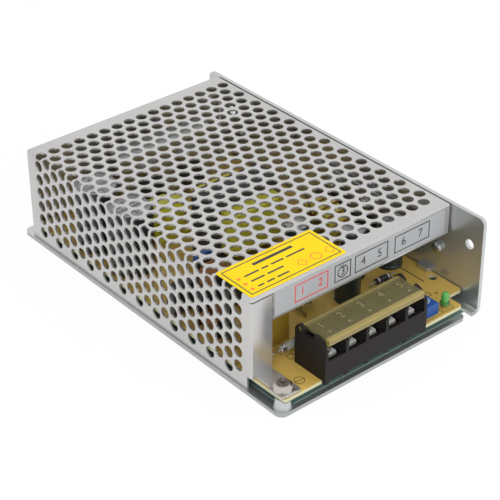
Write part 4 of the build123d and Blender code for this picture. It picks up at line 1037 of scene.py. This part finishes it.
@dataclass
class Studio:
    """Pale floor, white surroundings and soft lamps."""

    floor_size: float = 6.0
    floor_drop: float = 0.0003
    floor_tones: tuple[float, float] = (0.86, 0.9)
    floor_grain: float = 60.0
    floor_roughness: float = 0.9
    aim: Triple = (0.0, 0.0, 20.0)
    white_share: float = 0.93
    ambient: float = 0.69
    lamps: tuple[Lamp, ...] = (
        Lamp("key_lamp", (-1.05, -1.3, 1.2), 2.2, 23.0),
        Lamp("top_lamp", (0.3, 0.4, 1.7), 1.6, 6.0),
        Lamp("front_lamp", (0.05, -1.7, 0.5), 1.8, 14.0),
        Lamp("side_lamp", (1.5, -0.9, 0.8), 1.0, 3.0),
    )

    @staticmethod
    def seen(graph: Graph) -> Signal:
        """1 for rays from the camera, a mirror or a clear body."""
        path = graph.node("ShaderNodeLightPath")
        rays = [Signal(graph, path.outputs[name]) for name in
                ("Is Camera Ray", "Is Glossy Ray", "Is Transmission Ray")]
        return rays[0].most(rays[1]).most(rays[2])

    def floor(self) -> bpy.types.Object:
        """Floor that looks white and keeps a faint shadow."""
        graph = ShaderGraph("floor")
        low, high = ((tone,) * 3 for tone in self.floor_tones)
        tone = graph.mix(graph.noise(self.floor_grain), low, high)
        graph.set(base_color=tone, roughness=self.floor_roughness)
        white = graph.out("ShaderNodeEmission", {}, {"Color": (1, 1, 1, 1), "Strength": 1.0})
        dull = Signal(graph, graph.shader.outputs[0])
        inputs = {0: self.seen(graph) * self.white_share, 1: dull, 2: white}
        mixed = graph.out("ShaderNodeMixShader", {}, inputs)
        graph.feed(graph.output.inputs["Surface"], mixed)
        shape = bmesh.new()
        bmesh.ops.create_grid(shape, x_segments=4, y_segments=4, size=self.floor_size / 2,
                              matrix=Matrix.Translation((0, 0, -self.floor_drop)))
        return Bench.piece("floor", shape, graph.material)

    def world(self) -> None:
        """White to the eye and in reflections, softer as a light."""
        world = bpy.data.worlds.new("studio")
        world.use_nodes = True
        graph = Graph(world.node_tree)
        level = self.ambient + (1.0 - self.ambient) * self.seen(graph)
        sky = graph.out("ShaderNodeBackground", {}, {"Color": (1, 1, 1, 1), "Strength": level})
        graph.node("ShaderNodeOutputWorld", {}, {"Surface": sky})
        bpy.context.scene.world = world

    def build(self) -> bpy.types.Object:
        """Makes everything round the object and returns the floor."""
        self.world()
        for lamp in self.lamps:
            lamp.build(mm(*self.aim))
        bpy.context.scene.view_settings.view_transform = "Standard"
        return self.floor()


# The cover with its round perforation


@dataclass(frozen=True)
class HoleField:
    """One staggered field of round holes in a sheet, sizes in millimetres."""

    start: Triple
    row_step: Triple
    column_step: Triple
    odd_shift: float
    rows: int
    columns: int
    odd_columns: int
    turn: Triple
    radius: float = 2.25
    depth: float = 2.5
    sides: int = 24

    def values(self, finish: bpy.types.Material) -> dict[str, Any]:
        """The tree's named inputs in metres."""
        return {
            "Start": tuple(mm(*self.start)), "Row Step": tuple(mm(*self.row_step)),
            "Column Step": tuple(mm(*self.column_step)), "Odd Shift": self.odd_shift, "Rows": self.rows,
            "Columns": self.columns, "Odd Columns": self.odd_columns, "Turn": self.turn,
            "Radius": self.radius * MM, "Depth": self.depth * MM, "Sides": self.sides, "Finish": finish,
        }

    def punch(self, target: bpy.types.Object, finish: bpy.types.Material) -> bpy.types.Object:
        """Cuts the holes from a sheet.

        Args:
            target: the sheet.
            finish: its material.

        Returns:
            The same object as a plain mesh with the holes.
        """
        tree = GeometryGraph("perforation", self.values(finish))
        given = tree.given
        place = tree.out("GeometryNodeInputIndex")
        row = (place / given("Columns")).floor()
        column = place - row * given("Columns")
        odd = row % 2.0
        across = tree.combine("SCALE", given("Column Step"))
        tree.feed(across.socket.node.inputs["Scale"], column + odd * given("Odd Shift"))
        down = tree.combine("SCALE", given("Row Step"))
        tree.feed(down.socket.node.inputs["Scale"], row)
        spot = tree.combine("ADD", tree.combine("ADD", given("Start"), down), across)
        count = given("Rows") * given("Columns")
        points = tree.out("GeometryNodePoints", {}, {"Count": count, "Position": spot})
        kept = 1.0 - odd * (column > (given("Odd Columns") - 0.5))
        inputs = {"Vertices": given("Sides"), "Radius": given("Radius"), "Depth": given("Depth")}
        prism = tree.out("GeometryNodeMeshCylinder", {}, inputs)
        inputs = {"Points": points, "Selection": kept, "Instance": prism, "Rotation": given("Turn")}
        holes = tree.out("GeometryNodeInstanceOnPoints", {}, inputs)
        tools = tree.out("GeometryNodeRealizeInstances", {}, {0: holes})
        settings = {"operation": "DIFFERENCE", "solver": "MANIFOLD"}
        cut = tree.out("GeometryNodeMeshBoolean", settings, {0: given("Geometry"), 1: tools})
        tree.finish(cut)
        return tree.apply(target)


@dataclass
class PerforatedCover:
    """Cover folded from one sheet, with 4.5 mm holes at 6 mm pitch that run over its left bend."""

    case: Case = CASE
    pitch: float = 6.0
    rows: int = 24
    columns: int = 16
    side_columns: int = 6
    hole_back: float = 8.2
    hole_left: float = 1.62
    hole_down: float = 4.15
    flange: float = 9.3
    slit: float = 0.5
    slit_ease: float = 0.3
    step: float = 2.6
    foot_front: float = -77.15
    foot_left: float = -46.6
    earth: tuple[float, float] = (-44.6, -73.75)
    earth_hole: float = 2.2
    side_screws: tuple[float, float] = (-39.1, 50.9)
    side_screw_rise: float = 35.5
    side_screw_hole: float = 1.3
    reach: float = 1.0
    bend_faces: int = 5
    smooth_angle: float = 40.0

    def shell(self) -> bpy.types.Object:
        """Folded box with rounded bends, open below."""
        case = self.case
        low = mm(case.cover_left, case.cover_front, case.cover_bottom)
        high = mm(case.cover_right, case.cover_back, case.cover_top)

        def bent(edge: bmesh.types.BMEdge) -> bool:
            """Upright edges and those round the top."""
            return upright(edge) or all(vert.co.z > high.z - MM for vert in edge.verts)

        outside = Bench.piece("cover_sheet", Bench.box(low, high, case.bend * MM, self.bend_faces, bent))
        inset = mm(case.sheet, case.sheet, 0)
        hollow = Bench.box(low + inset - mm(0, 0, self.reach), high - mm(case.sheet, case.sheet, case.sheet))
        return Bench.cut(outside, [hollow])

    def cuts(self) -> list[bmesh.types.BMesh]:
        """Open front and right side, slits, corner step and screw holes, as in the part."""
        case = self.case
        left, right, front, back = case.cover_left, case.cover_right, case.cover_front, case.cover_back
        inside = front + case.sheet
        flange = left + self.flange
        open_edge = flange + self.slit
        slit_top = case.cover_top - case.bend - self.slit_ease
        back_slit = left + case.bend
        reach = self.reach
        spans = [
            ((open_edge, front - reach, 0), (right + reach, inside, case.fascia_bottom)),
            ((right - case.sheet, front - reach, 0), (right + reach, back - case.sheet, case.flange_bottom)),
            ((flange, front - reach, 0), (open_edge, inside, slit_top)),
            ((left - reach, front - reach, slit_top - self.slit), (open_edge, front + case.bend, slit_top)),
            ((left - reach, front - reach, 0), (flange + reach, front + self.step, case.board_top)),
            ((back_slit, back - case.sheet, 0), (back_slit + self.slit, back + reach, slit_top)),
            ((case.wall_out - case.fold, back - case.sheet, 0), (right + reach, back + reach, case.fold)),
        ]
        tools = [Bench.box(mm(*low), mm(*high)) for low, high in spans]
        for y in self.side_screws:
            start, end = (mm(x, y, self.side_screw_rise) for x in (right - 2 * case.sheet, right + reach))
            tools.append(Bench.rod(self.side_screw_hole * MM, start, end))
        return tools

    def foot(self) -> bmesh.types.BMesh:
        """Foot turned out under the earth screw."""
        case = self.case
        top = case.board_top + case.sheet

        def front_corner(edge: bmesh.types.BMEdge) -> bool:
            """The two upright edges at the free end."""
            return upright(edge) and edge.verts[0].co.y < (self.foot_front + self.reach) * MM

        return Bench.box(mm(self.foot_left, self.foot_front, case.board_top),
                         mm(case.cover_left + self.flange, case.cover_front + case.sheet, top),
                         case.bend * MM, which=front_corner)

    def fields(self) -> list[HoleField]:
        """The holes of the top and of the left side."""
        case = self.case
        row_step = (0.0, -self.pitch * math.sqrt(3) / 2, 0.0)
        back = case.cover_back - self.hole_back
        top = HoleField((case.cover_left + self.hole_left, back, case.cover_top - case.sheet / 2), row_step,
                        (self.pitch, 0, 0), 0.5, self.rows, self.columns, self.columns - 1, (0.0, 0.0, 0.0))
        side = HoleField((case.cover_left + case.sheet / 2, back, case.cover_top - self.hole_down), row_step,
                         (0, 0, -self.pitch), -0.5, self.rows, self.side_columns, self.side_columns,
                         (0.0, math.pi / 2, 0.0))
        return [top, side]

    def build(self) -> bpy.types.Object:
        """Makes the cover and lets it stand for the part's own."""
        cover = self.shell()
        Bench.cut(cover, self.cuts())
        Bench.cut(cover, [self.foot()], "UNION")
        low, high = self.case.board_top - self.reach, self.case.board_top + 2 * self.reach
        hole = Bench.rod(self.earth_hole * MM, mm(*self.earth, low), mm(*self.earth, high))
        Bench.cut(cover, [hole])
        for holes in self.fields():
            holes.punch(cover, COVER_METAL.material())
        Bench.smooth(cover, self.smooth_angle)
        return settle(cover, "case", "cover_metal", "cover")


# Pieces that the scene adds


def settle(piece: bpy.types.Object, body: str, slot: str, *nodes: str) -> bpy.types.Object:
    """Lets a piece ride on a body and stand for some of the part's nodes.

    Args:
        piece: the piece, at its place.
        body: the body that carries it.
        slot: a material slot of the record; not used.
        nodes: nodes that it stands for.

    Returns:
        The piece.
    """
    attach(piece, body)
    if nodes:
        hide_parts(*nodes)
    return piece


def joined(name: str, shapes: Iterable[bmesh.types.BMesh], finish: Finish) -> bpy.types.Object:
    """One object from several shapes, in a finish."""
    return Bench.piece(name, Bench.merge(shapes), finish.material())


UPRIGHT = Matrix.Rotation(math.radians(90), 4, "X")


def flat_at(x: float, y: float, z: float) -> Matrix:
    """Place of a lying print whose text is read from the front."""
    return Matrix.Translation(mm(x, y, z))


def upright_at(x: float, y: float, z: float) -> Matrix:
    """Place of a print that stands on a face and looks to the front."""
    return Matrix.Translation(mm(x, y, z)) @ UPRIGHT


def framed(width: float, height: float, line: float, depth: float, place: Matrix) -> bmesh.types.BMesh:
    """Raised rectangular line."""
    inside = frame_points(width - 2 * line, height - 2 * line)
    return Bench.outline(frame_points(width, height), depth, place, [inside])


def bar(width: float, height: float, depth: float, place: Matrix) -> bmesh.types.BMesh:
    """Raised filled rectangle."""
    return Bench.outline(frame_points(width, height), depth, place)


def ring(radius: float, line: float, depth: float, place: Matrix, count: int = 40) -> bmesh.types.BMesh:
    """Raised line round a circle, or round an even polygon of a few corners."""
    return Bench.outline(ring_points(radius, count), depth, place, [ring_points(radius - line, count)])


@dataclass
class StickerLabel:
    """Sticker on the cover: yellow film with a dark border, ruled lines and dots."""

    left: float = -47.2
    right: float = -3.8
    front: float = -60.65
    back: float = -41.15
    bottom: float = CASE.cover_top
    film: float = 0.13
    ink: float = 0.014
    corner: float = 0.8
    border_inset: float = 1.3
    border_line: float = 0.45
    heading: tuple[float, float, float, float] = (-8.5, 9.5, 5.5, 1.4)
    lines: tuple[tuple[float, tuple[float, ...]], ...] = (
        (1.6, (6.4, 3.0, 5.6, 8.4)), (-2.1, (6.0, 7.2)), (-5.8, (2.6, 3.4, 5.2)))
    line_width: float = 0.8
    line_left: float = -15.4
    word_gap: float = 1.3
    dot: float = 0.75
    dot_left: float = -18.0
    dot_sides: int = 20
    shape_sides: tuple[int, ...] = (4, 32, 4)
    shapes_left: float = 5.5
    shapes_rise: float = -4.6
    shape_pitch: float = 6.4
    shape: float = 2.2
    shape_line: float = 0.45

    def build(self) -> list[bpy.types.Object]:
        """Makes the film, the dark print and the dots."""
        x, y = (self.left + self.right) / 2, (self.front + self.back) / 2
        top = self.bottom + self.film
        sheet = Bench.box(mm(self.left, self.front, self.bottom), mm(self.right, self.back, top),
                          self.corner * MM, which=upright)
        film = Bench.piece("label_film", sheet, LABEL_FILM.material())
        width = self.right - self.left - 2 * self.border_inset
        height = self.back - self.front - 2 * self.border_inset
        dark = [framed(width, height, self.border_line, self.ink, flat_at(x, y, top))]
        left, right, rise, thick = self.heading
        dark.append(bar(right - left, thick, self.ink, flat_at(x + (left + right) / 2, y + rise, top)))
        dots = []
        for rise, words in self.lines:
            start = x + self.line_left
            for word in words:
                dark.append(bar(word, self.line_width, self.ink, flat_at(start + word / 2, y + rise, top)))
                start += word + self.word_gap
            spot = flat_at(x + self.dot_left, y + rise, top)
            dots.append(Bench.outline(ring_points(self.dot, self.dot_sides), self.ink, spot))
        for place, corners in enumerate(self.shape_sides):
            spot = flat_at(x + self.shapes_left + place * self.shape_pitch, y + self.shapes_rise, top)
            dots.append(ring(self.shape, self.shape_line, self.ink, spot, corners))
        made = [settle(film, "case", "label_film", "label")]
        for name, shapes, finish in (("label_print", dark, BLACK_INK), ("label_dots", dots, ORANGE_INK)):
            made.append(settle(joined(name, shapes, finish), "case", "label_film"))
        return made


@dataclass(frozen=True)
class Cartouche:
    """One printed frame on the fascia with its signs."""

    left: float
    right: float
    signs: tuple[tuple[float, str], ...]
    ringed: bool = False
    red: bool = False


@dataclass
class FasciaPrint:
    """Silver film on the fascia with printed frames and plain numbers over the terminals."""

    case: Case = CASE
    film: tuple[float, float, float, float] = (-37.9, 44.2, 29.1, 39.3)
    film_depth: float = 0.06
    bottom: float = 30.7
    top: float = 37.9
    line: float = 0.42
    ink: float = 0.03
    sign_height: float = 3.3
    ring: float = 2.5
    frames: tuple[Cartouche, ...] = (
        Cartouche(-28.8, -13.4, ((-25.2, "1"), (-17.0, "2")), red=True),
        Cartouche(-10.4, -2.6, ((-6.5, "3"),), ringed=True),
        Cartouche(-0.7, 15.4, ((3.4, "4"), (11.3, "5"))),
        Cartouche(18.7, 36.3, ((23.2, "6"), (31.6, "7"))),
    )

    def marks(self, frame: Cartouche) -> list[bmesh.types.BMesh]:
        """Line and signs of one frame."""
        y, z = self.case.cover_front - self.film_depth, (self.bottom + self.top) / 2
        shapes = [framed(frame.right - frame.left, self.top - self.bottom, self.line, self.ink,
                         upright_at((frame.left + frame.right) / 2, y, z))]
        for x, sign in frame.signs:
            shapes.append(Bench.number(sign, self.sign_height, self.ink, upright_at(x, y, z)))
            if frame.ringed:
                shapes.append(ring(self.ring, self.line, self.ink, upright_at(x, y, z)))
        return shapes

    def build(self) -> list[bpy.types.Object]:
        """Makes the film, then the red and the dark print on it."""
        left, right, bottom, top = self.film
        sheet = Bench.box(mm(left, self.case.cover_front - self.film_depth, bottom),
                          mm(right, self.case.cover_front, top))
        made = [settle(Bench.piece("fascia_film", sheet, FASCIA_FILM.material()), "case", "cover_metal")]
        for name, finish, red in (("fascia_red", RED_INK, True), ("fascia_print", BLACK_INK, False)):
            shapes = [shape for frame in self.frames if frame.red == red for shape in self.marks(frame)]
            made.append(settle(joined(name, shapes, finish), "case", "cover_metal"))
        return made


@dataclass
class FlapMarks:
    """Raised numbers and pointers on the clear flap, one for each pole."""

    first: float = -24.55
    pitch: float = 9.5
    poles: int = 5
    top: float = 24.0
    number_y: float = -70.4
    pointer_y: float = -74.6
    height: float = 3.2
    relief: float = 0.18
    pointer: tuple[float, float] = (1.7, 1.1)

    def build(self) -> bpy.types.Object:
        """Makes all marks as one piece on the flap."""
        shapes = []
        half, depth = self.pointer[0] / 2, self.pointer[1]
        for pole in range(self.poles):
            x = self.first + self.pitch * pole
            spot = flat_at(x, self.number_y, self.top)
            shapes.append(Bench.number(str(pole + 1), self.height, self.relief, spot))
            shapes.append(Bench.outline([(-half, 0), (0, -depth), (half, 0)], self.relief,
                                        flat_at(x, self.pointer_y, self.top)))
        return settle(joined("flap_marks", shapes, FLAP_MARK), "flap", "flap_plastic")


@dataclass
class GlassFuse:
    """Axial fuse: glass tube, two plated caps and bent leads."""

    middle: Triple = (-26.5, -56.85, 9.2)
    board_top: float = CASE.board_top
    length: float = 10.0
    cap: float = 2.4
    radius: float = 1.8
    glass: float = 1.6
    lead: float = 0.35
    lead_reach: float = 3.0
    bow: float = 1.2
    seat: float = 0.25

    def turned(self, steps: Sequence[tuple[float, float]], sides: int = 24) -> bmesh.types.BMesh:
        """Body turned about the fuse's axis from (along, radius) steps."""
        shape = bmesh.new()
        origin = Vector(self.middle)
        points = [shape.verts.new(mm(origin.x + along, origin.y, origin.z + radius))
                  for along, radius in steps]
        edges = [shape.edges.new(pair) for pair in zip(points, points[1:])]
        bmesh.ops.spin(shape, geom=points + edges, cent=mm(*origin), axis=(1, 0, 0), angle=2 * math.pi,
                       steps=sides, use_merge=True)
        bmesh.ops.remove_doubles(shape, verts=shape.verts, dist=Bench.WELD)
        return shape

    def caps(self) -> list[bmesh.types.BMesh]:
        """Two caps with rolled edges, and their leads."""
        half, ease = self.length / 2, self.seat
        made = []
        for side in (-1, 1):
            steps = [(half, 0), (half, self.radius - ease), (half - ease, self.radius),
                     (half - self.cap + ease, self.radius), (half - self.cap, self.radius - ease / 2),
                     (half - self.cap, self.glass), (half - self.cap, 0)]
            made.append(self.turned([(side * along, radius) for along, radius in steps]))
            x, y, z = self.middle
            end = x + side * (half + self.lead_reach)
            route = [(x + side * half, y, z), (end - side * self.bow, y, z), (end, y, z),
                     (end, y, z - self.bow), (end, y, self.board_top)]
            made.append(Bench.wire([mm(*point) for point in route], self.lead * MM))
        return made

    def build(self) -> list[bpy.types.Object]:
        """Makes the metal and the glass."""
        half = self.length / 2 - self.cap
        glass = self.turned([(-half, 0), (-half, self.glass), (half, self.glass), (half, 0)])
        metal = joined("fuse_caps", self.caps(), SCREW_METAL)
        tube = Bench.piece("fuse_tube", glass, FUSE_GLASS.material())
        return [settle(metal, "case", "fuse_glass", "fuse"), settle(tube, "case", "fuse_glass")]


@dataclass(frozen=True)
class WireTurns:
    """Wire wound round a bar or round a ring, sizes in millimetres."""

    centre: Triple
    turns: int
    across: float
    out: float
    wire: float
    length: float = 0.0
    ring: float = 0.0
    squareness: float = 0.333
    steps: int = 24
    sides: int = 7
    smooth_angle: float = 60.0

    def values(self, finish: bpy.types.Material) -> dict[str, Any]:
        """The tree's named inputs in metres."""
        return {
            "Centre": tuple(mm(*self.centre)), "Turns": self.turns, "Steps": self.steps,
            "Across": self.across * MM, "Out": self.out * MM, "Wire": self.wire * MM,
            "Length": self.length * MM, "Ring": self.ring * MM, "Squareness": self.squareness,
            "Sides": self.sides, "Finish": finish,
        }

    def wind(self, name: str, finish: Finish) -> bpy.types.Object:
        """Lays the wire along its rule.

        Args:
            name: the object's name.
            finish: the wire's finish.

        Returns:
            The wound wire as a plain mesh.
        """
        tree = GeometryGraph("wire_turns", self.values(finish.material()))
        given = tree.given
        share = tree.out("GeometryNodeInputIndex") / (given("Turns") * given("Steps"))
        angle = share * given("Turns") * (2 * math.pi)

        def eased(wave: Signal) -> Signal:
            """Wave made squarer, so that the wire follows a bar's flat faces."""
            return wave.math("SIGN") * abs(wave).math("POWER", given("Squareness"))

        across = eased(angle.math("COSINE")) * given("Across")
        out = eased(angle.math("SINE")) * given("Out")
        round_ring = share * (2 * math.pi)
        reach = given("Ring") + out
        coiled = tree.vector(across, reach * round_ring.math("COSINE"), reach * round_ring.math("SINE"))
        straight = tree.vector(across, (share - 0.5) * given("Length"), out)
        about = (given("Ring") > 0.0) * 1.0
        choice = tree.out("ShaderNodeMix", {"data_type": "VECTOR"}, {0: about, 4: straight, 5: coiled}, 1)
        count = given("Turns") * given("Steps") + 1.0
        line = tree.out("GeometryNodeMeshLine", {}, {"Count": count})
        place = tree.combine("ADD", given("Centre"), choice)
        laid = tree.out("GeometryNodeSetPosition", {}, {"Geometry": line, "Position": place})
        route = tree.out("GeometryNodeMeshToCurve", {}, {"Mesh": laid})
        inputs = {"Resolution": given("Sides"), "Radius": given("Wire")}
        section = tree.out("GeometryNodeCurvePrimitiveCircle", {}, inputs)
        inputs = {"Curve": route, "Profile Curve": section, "Fill Caps": True}
        tree.finish(tree.out("GeometryNodeCurveToMesh", {}, inputs))
        holder = Bench.piece(name, bmesh.new(), finish.material())
        return Bench.smooth(tree.apply(holder), self.smooth_angle)


@dataclass
class OutputInductor:
    """Winding of the standing ring inductor."""

    centre: Triple = (26.1, -15.75, 18.6)
    ring: float = 8.1
    half_width: float = 4.5
    half_depth: float = 2.5
    wire: float = 0.42
    turns: int = 17
    clearance: float = 0.03

    def build(self) -> bpy.types.Object:
        """Winds the ring."""
        gap = self.wire + self.clearance
        turns = WireTurns(self.centre, self.turns, self.half_width + gap, self.half_depth + gap, self.wire,
                          ring=self.ring)
        return settle(turns.wind("inductor_turns", COIL_COPPER), "case", "coil_copper", "inductor_winding")


@dataclass
class MainsChoke:
    """Two coils of the mains choke with their bobbins."""

    middle: tuple[float, float] = (-37.0, -29.85)
    axes: tuple[float, float] = (10.8, 28.6)
    span: float = 11.5
    half_limb: tuple[float, float] = (2.95, 2.1)
    radius: float = 5.2
    low_radius: float = 3.6
    wire: float = 0.32
    turns: int = 16
    cheek: float = 0.6
    gap: float = 0.06
    cheek_ease: float = 0.02
    wire_ease: float = 0.3
    squareness: float = 0.6

    def bobbin(self, axis: float, drop: float) -> bmesh.types.BMesh:
        """Square tube with two cheeks round one limb."""
        x, y = self.middle
        wide, high = self.half_limb
        wall = self.cheek
        shapes = []

        def shell(outer_x: float, outer_z: float, y0: float, y1: float) -> None:
            """Four sides round the limb between two places along it."""
            inner_x, inner_z = wide + self.gap, high + self.gap
            spans = [(-outer_x, outer_x, inner_z, outer_z), (-outer_x, outer_x, -outer_z, -inner_z),
                     (-outer_x, -inner_x, -inner_z, inner_z), (inner_x, outer_x, -inner_z, inner_z)]
            for x0, x1, z0, z1 in spans:
                shapes.append(Bench.box(mm(x + x0, y0, axis + z0), mm(x + x1, y1, axis + z1)))

        half = self.span / 2
        shell(wide + wall, high + wall, y - half + wall, y + half - wall)
        for start in (y - half, y + half - wall):
            shell(self.radius - self.cheek_ease, drop, start, start + wall)
        return Bench.merge(shapes)

    def build(self) -> list[bpy.types.Object]:
        """Makes the bobbins and their wire."""
        x, y = self.middle
        heights = (self.low_radius, self.radius - self.cheek_ease)
        bobbins = [self.bobbin(axis, drop) for axis, drop in zip(self.axes, heights)]
        made = [settle(joined("choke_bobbins", bobbins, BOBBIN), "case", "sleeve_black")]
        length = self.span - 2 * self.cheek - 2 * self.wire
        for name, axis, high in zip(("low", "high"), self.axes, heights):
            across, out = (reach - self.wire - self.wire_ease for reach in (self.radius, high))
            turns = WireTurns((x, y, axis), self.turns, across, out, self.wire, length=length,
                              squareness=self.squareness)
            coil = turns.wind(f"choke_turns_{name}", COIL_COPPER)
            nodes = ("choke_windings",) if name == "low" else ()
            made.append(settle(coil, "case", "coil_copper", *nodes))
        return made


@dataclass
class BoardPrint:
    """Dark printed signs on the board's open front part."""

    top: float = CASE.board_top
    ink: float = 0.03
    line: float = 0.25
    number_height: float = 1.8
    locator: tuple[float, float, float] = (-35.7, -72.25, 2.0)
    square: tuple[float, float, float] = (-28.8, -60.05, 3.0)
    rule: tuple[float, float, float] = (39.9, -57.35, -44.45)
    outlines: tuple[tuple[float, float, float, float], ...] = (
        (21.6, -76.3, 31.0, -66.6), (31.4, -76.4, 36.6, -70.6), (21.0, -65.4, 36.0, -62.6),
    )
    numbers: tuple[tuple[float, float, str], ...] = ((24.6, -64.0, "8"), (38.0, -66.0, "9"))

    def build(self) -> bpy.types.Object:
        """Makes the print as one piece."""
        x, y, radius = self.locator
        spot = flat_at(x, y, self.top)
        shapes = [ring(radius, self.line, self.ink, spot),
                  bar(2 * radius - self.line, self.line, self.ink, spot)]
        x, y, side = self.square
        shapes.append(framed(side, side, self.line, self.ink, flat_at(x, y, self.top)))
        x, front, back = self.rule
        shapes.append(bar(self.line * 2, back - front, self.ink, flat_at(x, (front + back) / 2, self.top)))
        for left, front, right, back in self.outlines:
            shapes.append(framed(right - left, back - front, self.line, self.ink,
                                 flat_at((left + right) / 2, (front + back) / 2, self.top)))
        for x, y, text in self.numbers:
            shapes.append(Bench.number(text, self.number_height, self.ink, flat_at(x, y, self.top)))
        return settle(joined("board_print", shapes, BOARD_INK), "case", "board_laminate")


# Finishes of the part's own nodes


MAINS_SLEEVE = srgb(44, 46, 50)
OUTPUT_SLEEVE = srgb(34, 48, 46)
SLEEVE_ROUGHNESS = 0.35

NODE_FINISHES = {
    "chassis": CHASSIS_METAL, "side_inserts": INSERT_METAL, "circuit_board": BOARD_LAMINATE,
    "insulating_sheet": SHEET_FILM_PAINTED_REFLECTION, "earth_screw": EARTH_METAL, "square_washer": EARTH_METAL,
    "board_screws": SCREW_METAL, "wall_screws": SCREW_METAL, "terminal_housing": BLOCK_PLASTIC,
    "terminal_flap": FLAP_PLASTIC, "trimmer_body": TRIMMER_PLASTIC, "trimmer_rotor": ROTOR_PLASTIC,
    "indicator_led": LAMP_PLASTIC, "film_capacitor": FILM_PLASTIC, "thermistor": DISC_GREEN,
    "choke_core": FERRITE, "bridge_rectifier": PACKAGE, "transformer_core": FERRITE,
    "transformer_winding": TAPE_YELLOW, "driver_transformer": TAPE_YELLOW, "transistor_heatsink": SINK_METAL,
    "heat_bar": SINK_METAL, "device_screws": SCREW_METAL, "inductor_core": RING_IRON, "control_chip": PACKAGE,
    "resistors": RESISTOR, "diodes": DIODE, "jumper_wires": TINNED_WIRE, "y_capacitor_a": DISC_BLUE,
    "y_capacitor_b": DISC_BLUE, "power_transistor_a": DEVICE, "power_transistor_b": DEVICE,
    "output_rectifier_a": DEVICE, "output_rectifier_b": DEVICE,
}


def finish_of(node: str) -> Finish | None:
    """The finish of one of the part's nodes, or none where a piece replaces it."""
    if node.startswith(("bulk_capacitor", "output_capacitor")):
        low, high = (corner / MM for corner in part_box(node))
        middle = ((low.x + high.x) / 2, (low.y + high.y) / 2)
        tone = MAINS_SLEEVE if node.startswith("bulk") else OUTPUT_SLEEVE
        return Sleeve(f"sleeve_{node}", tone, SLEEVE_ROUGHNESS, middle, (high.x - low.x) / 2, high.z)
    if node.startswith(("contact_bar", "clamp_plate")):
        return CONTACT_METAL
    if node.startswith("terminal_screw"):
        return SCREW_METAL
    return NODE_FINISHES.get(node)


def dress(nodes: dict[str, bpy.types.Object]) -> None:
    """Gives every node of the part its finish.

    Args:
        nodes: the part's objects by name.
    """
    for name, node in nodes.items():
        finish = finish_of(name)
        if finish is None:
            continue
        if not node.material_slots:
            node.data.materials.append(None)
        for slot in node.material_slots:
            slot.material = finish.material()
        LOG.info("%s finished as %s", name, finish.name)


def main(frame: dict[str, Any], cad_box: list[list[float]]) -> None:
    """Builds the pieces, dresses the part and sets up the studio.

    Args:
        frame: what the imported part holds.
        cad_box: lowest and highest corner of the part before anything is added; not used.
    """
    logging.basicConfig(level=logging.INFO, format="%(name)s: %(message)s")
    dress(frame["nodes"])
    makers = (PerforatedCover(), StickerLabel(), FasciaPrint(), FlapMarks(), GlassFuse(), OutputInductor(),
              MainsChoke(), BoardPrint())
    for maker in makers:
        made = maker.build()
        for piece in made if isinstance(made, list) else [made]:
            LOG.info("%s: %d faces", piece.name, len(piece.data.polygons))
    Studio().build()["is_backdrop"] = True
    Viewpoint().build()


if __name__ == "__main__":
    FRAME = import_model()
    main(FRAME, [list(corner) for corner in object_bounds()])
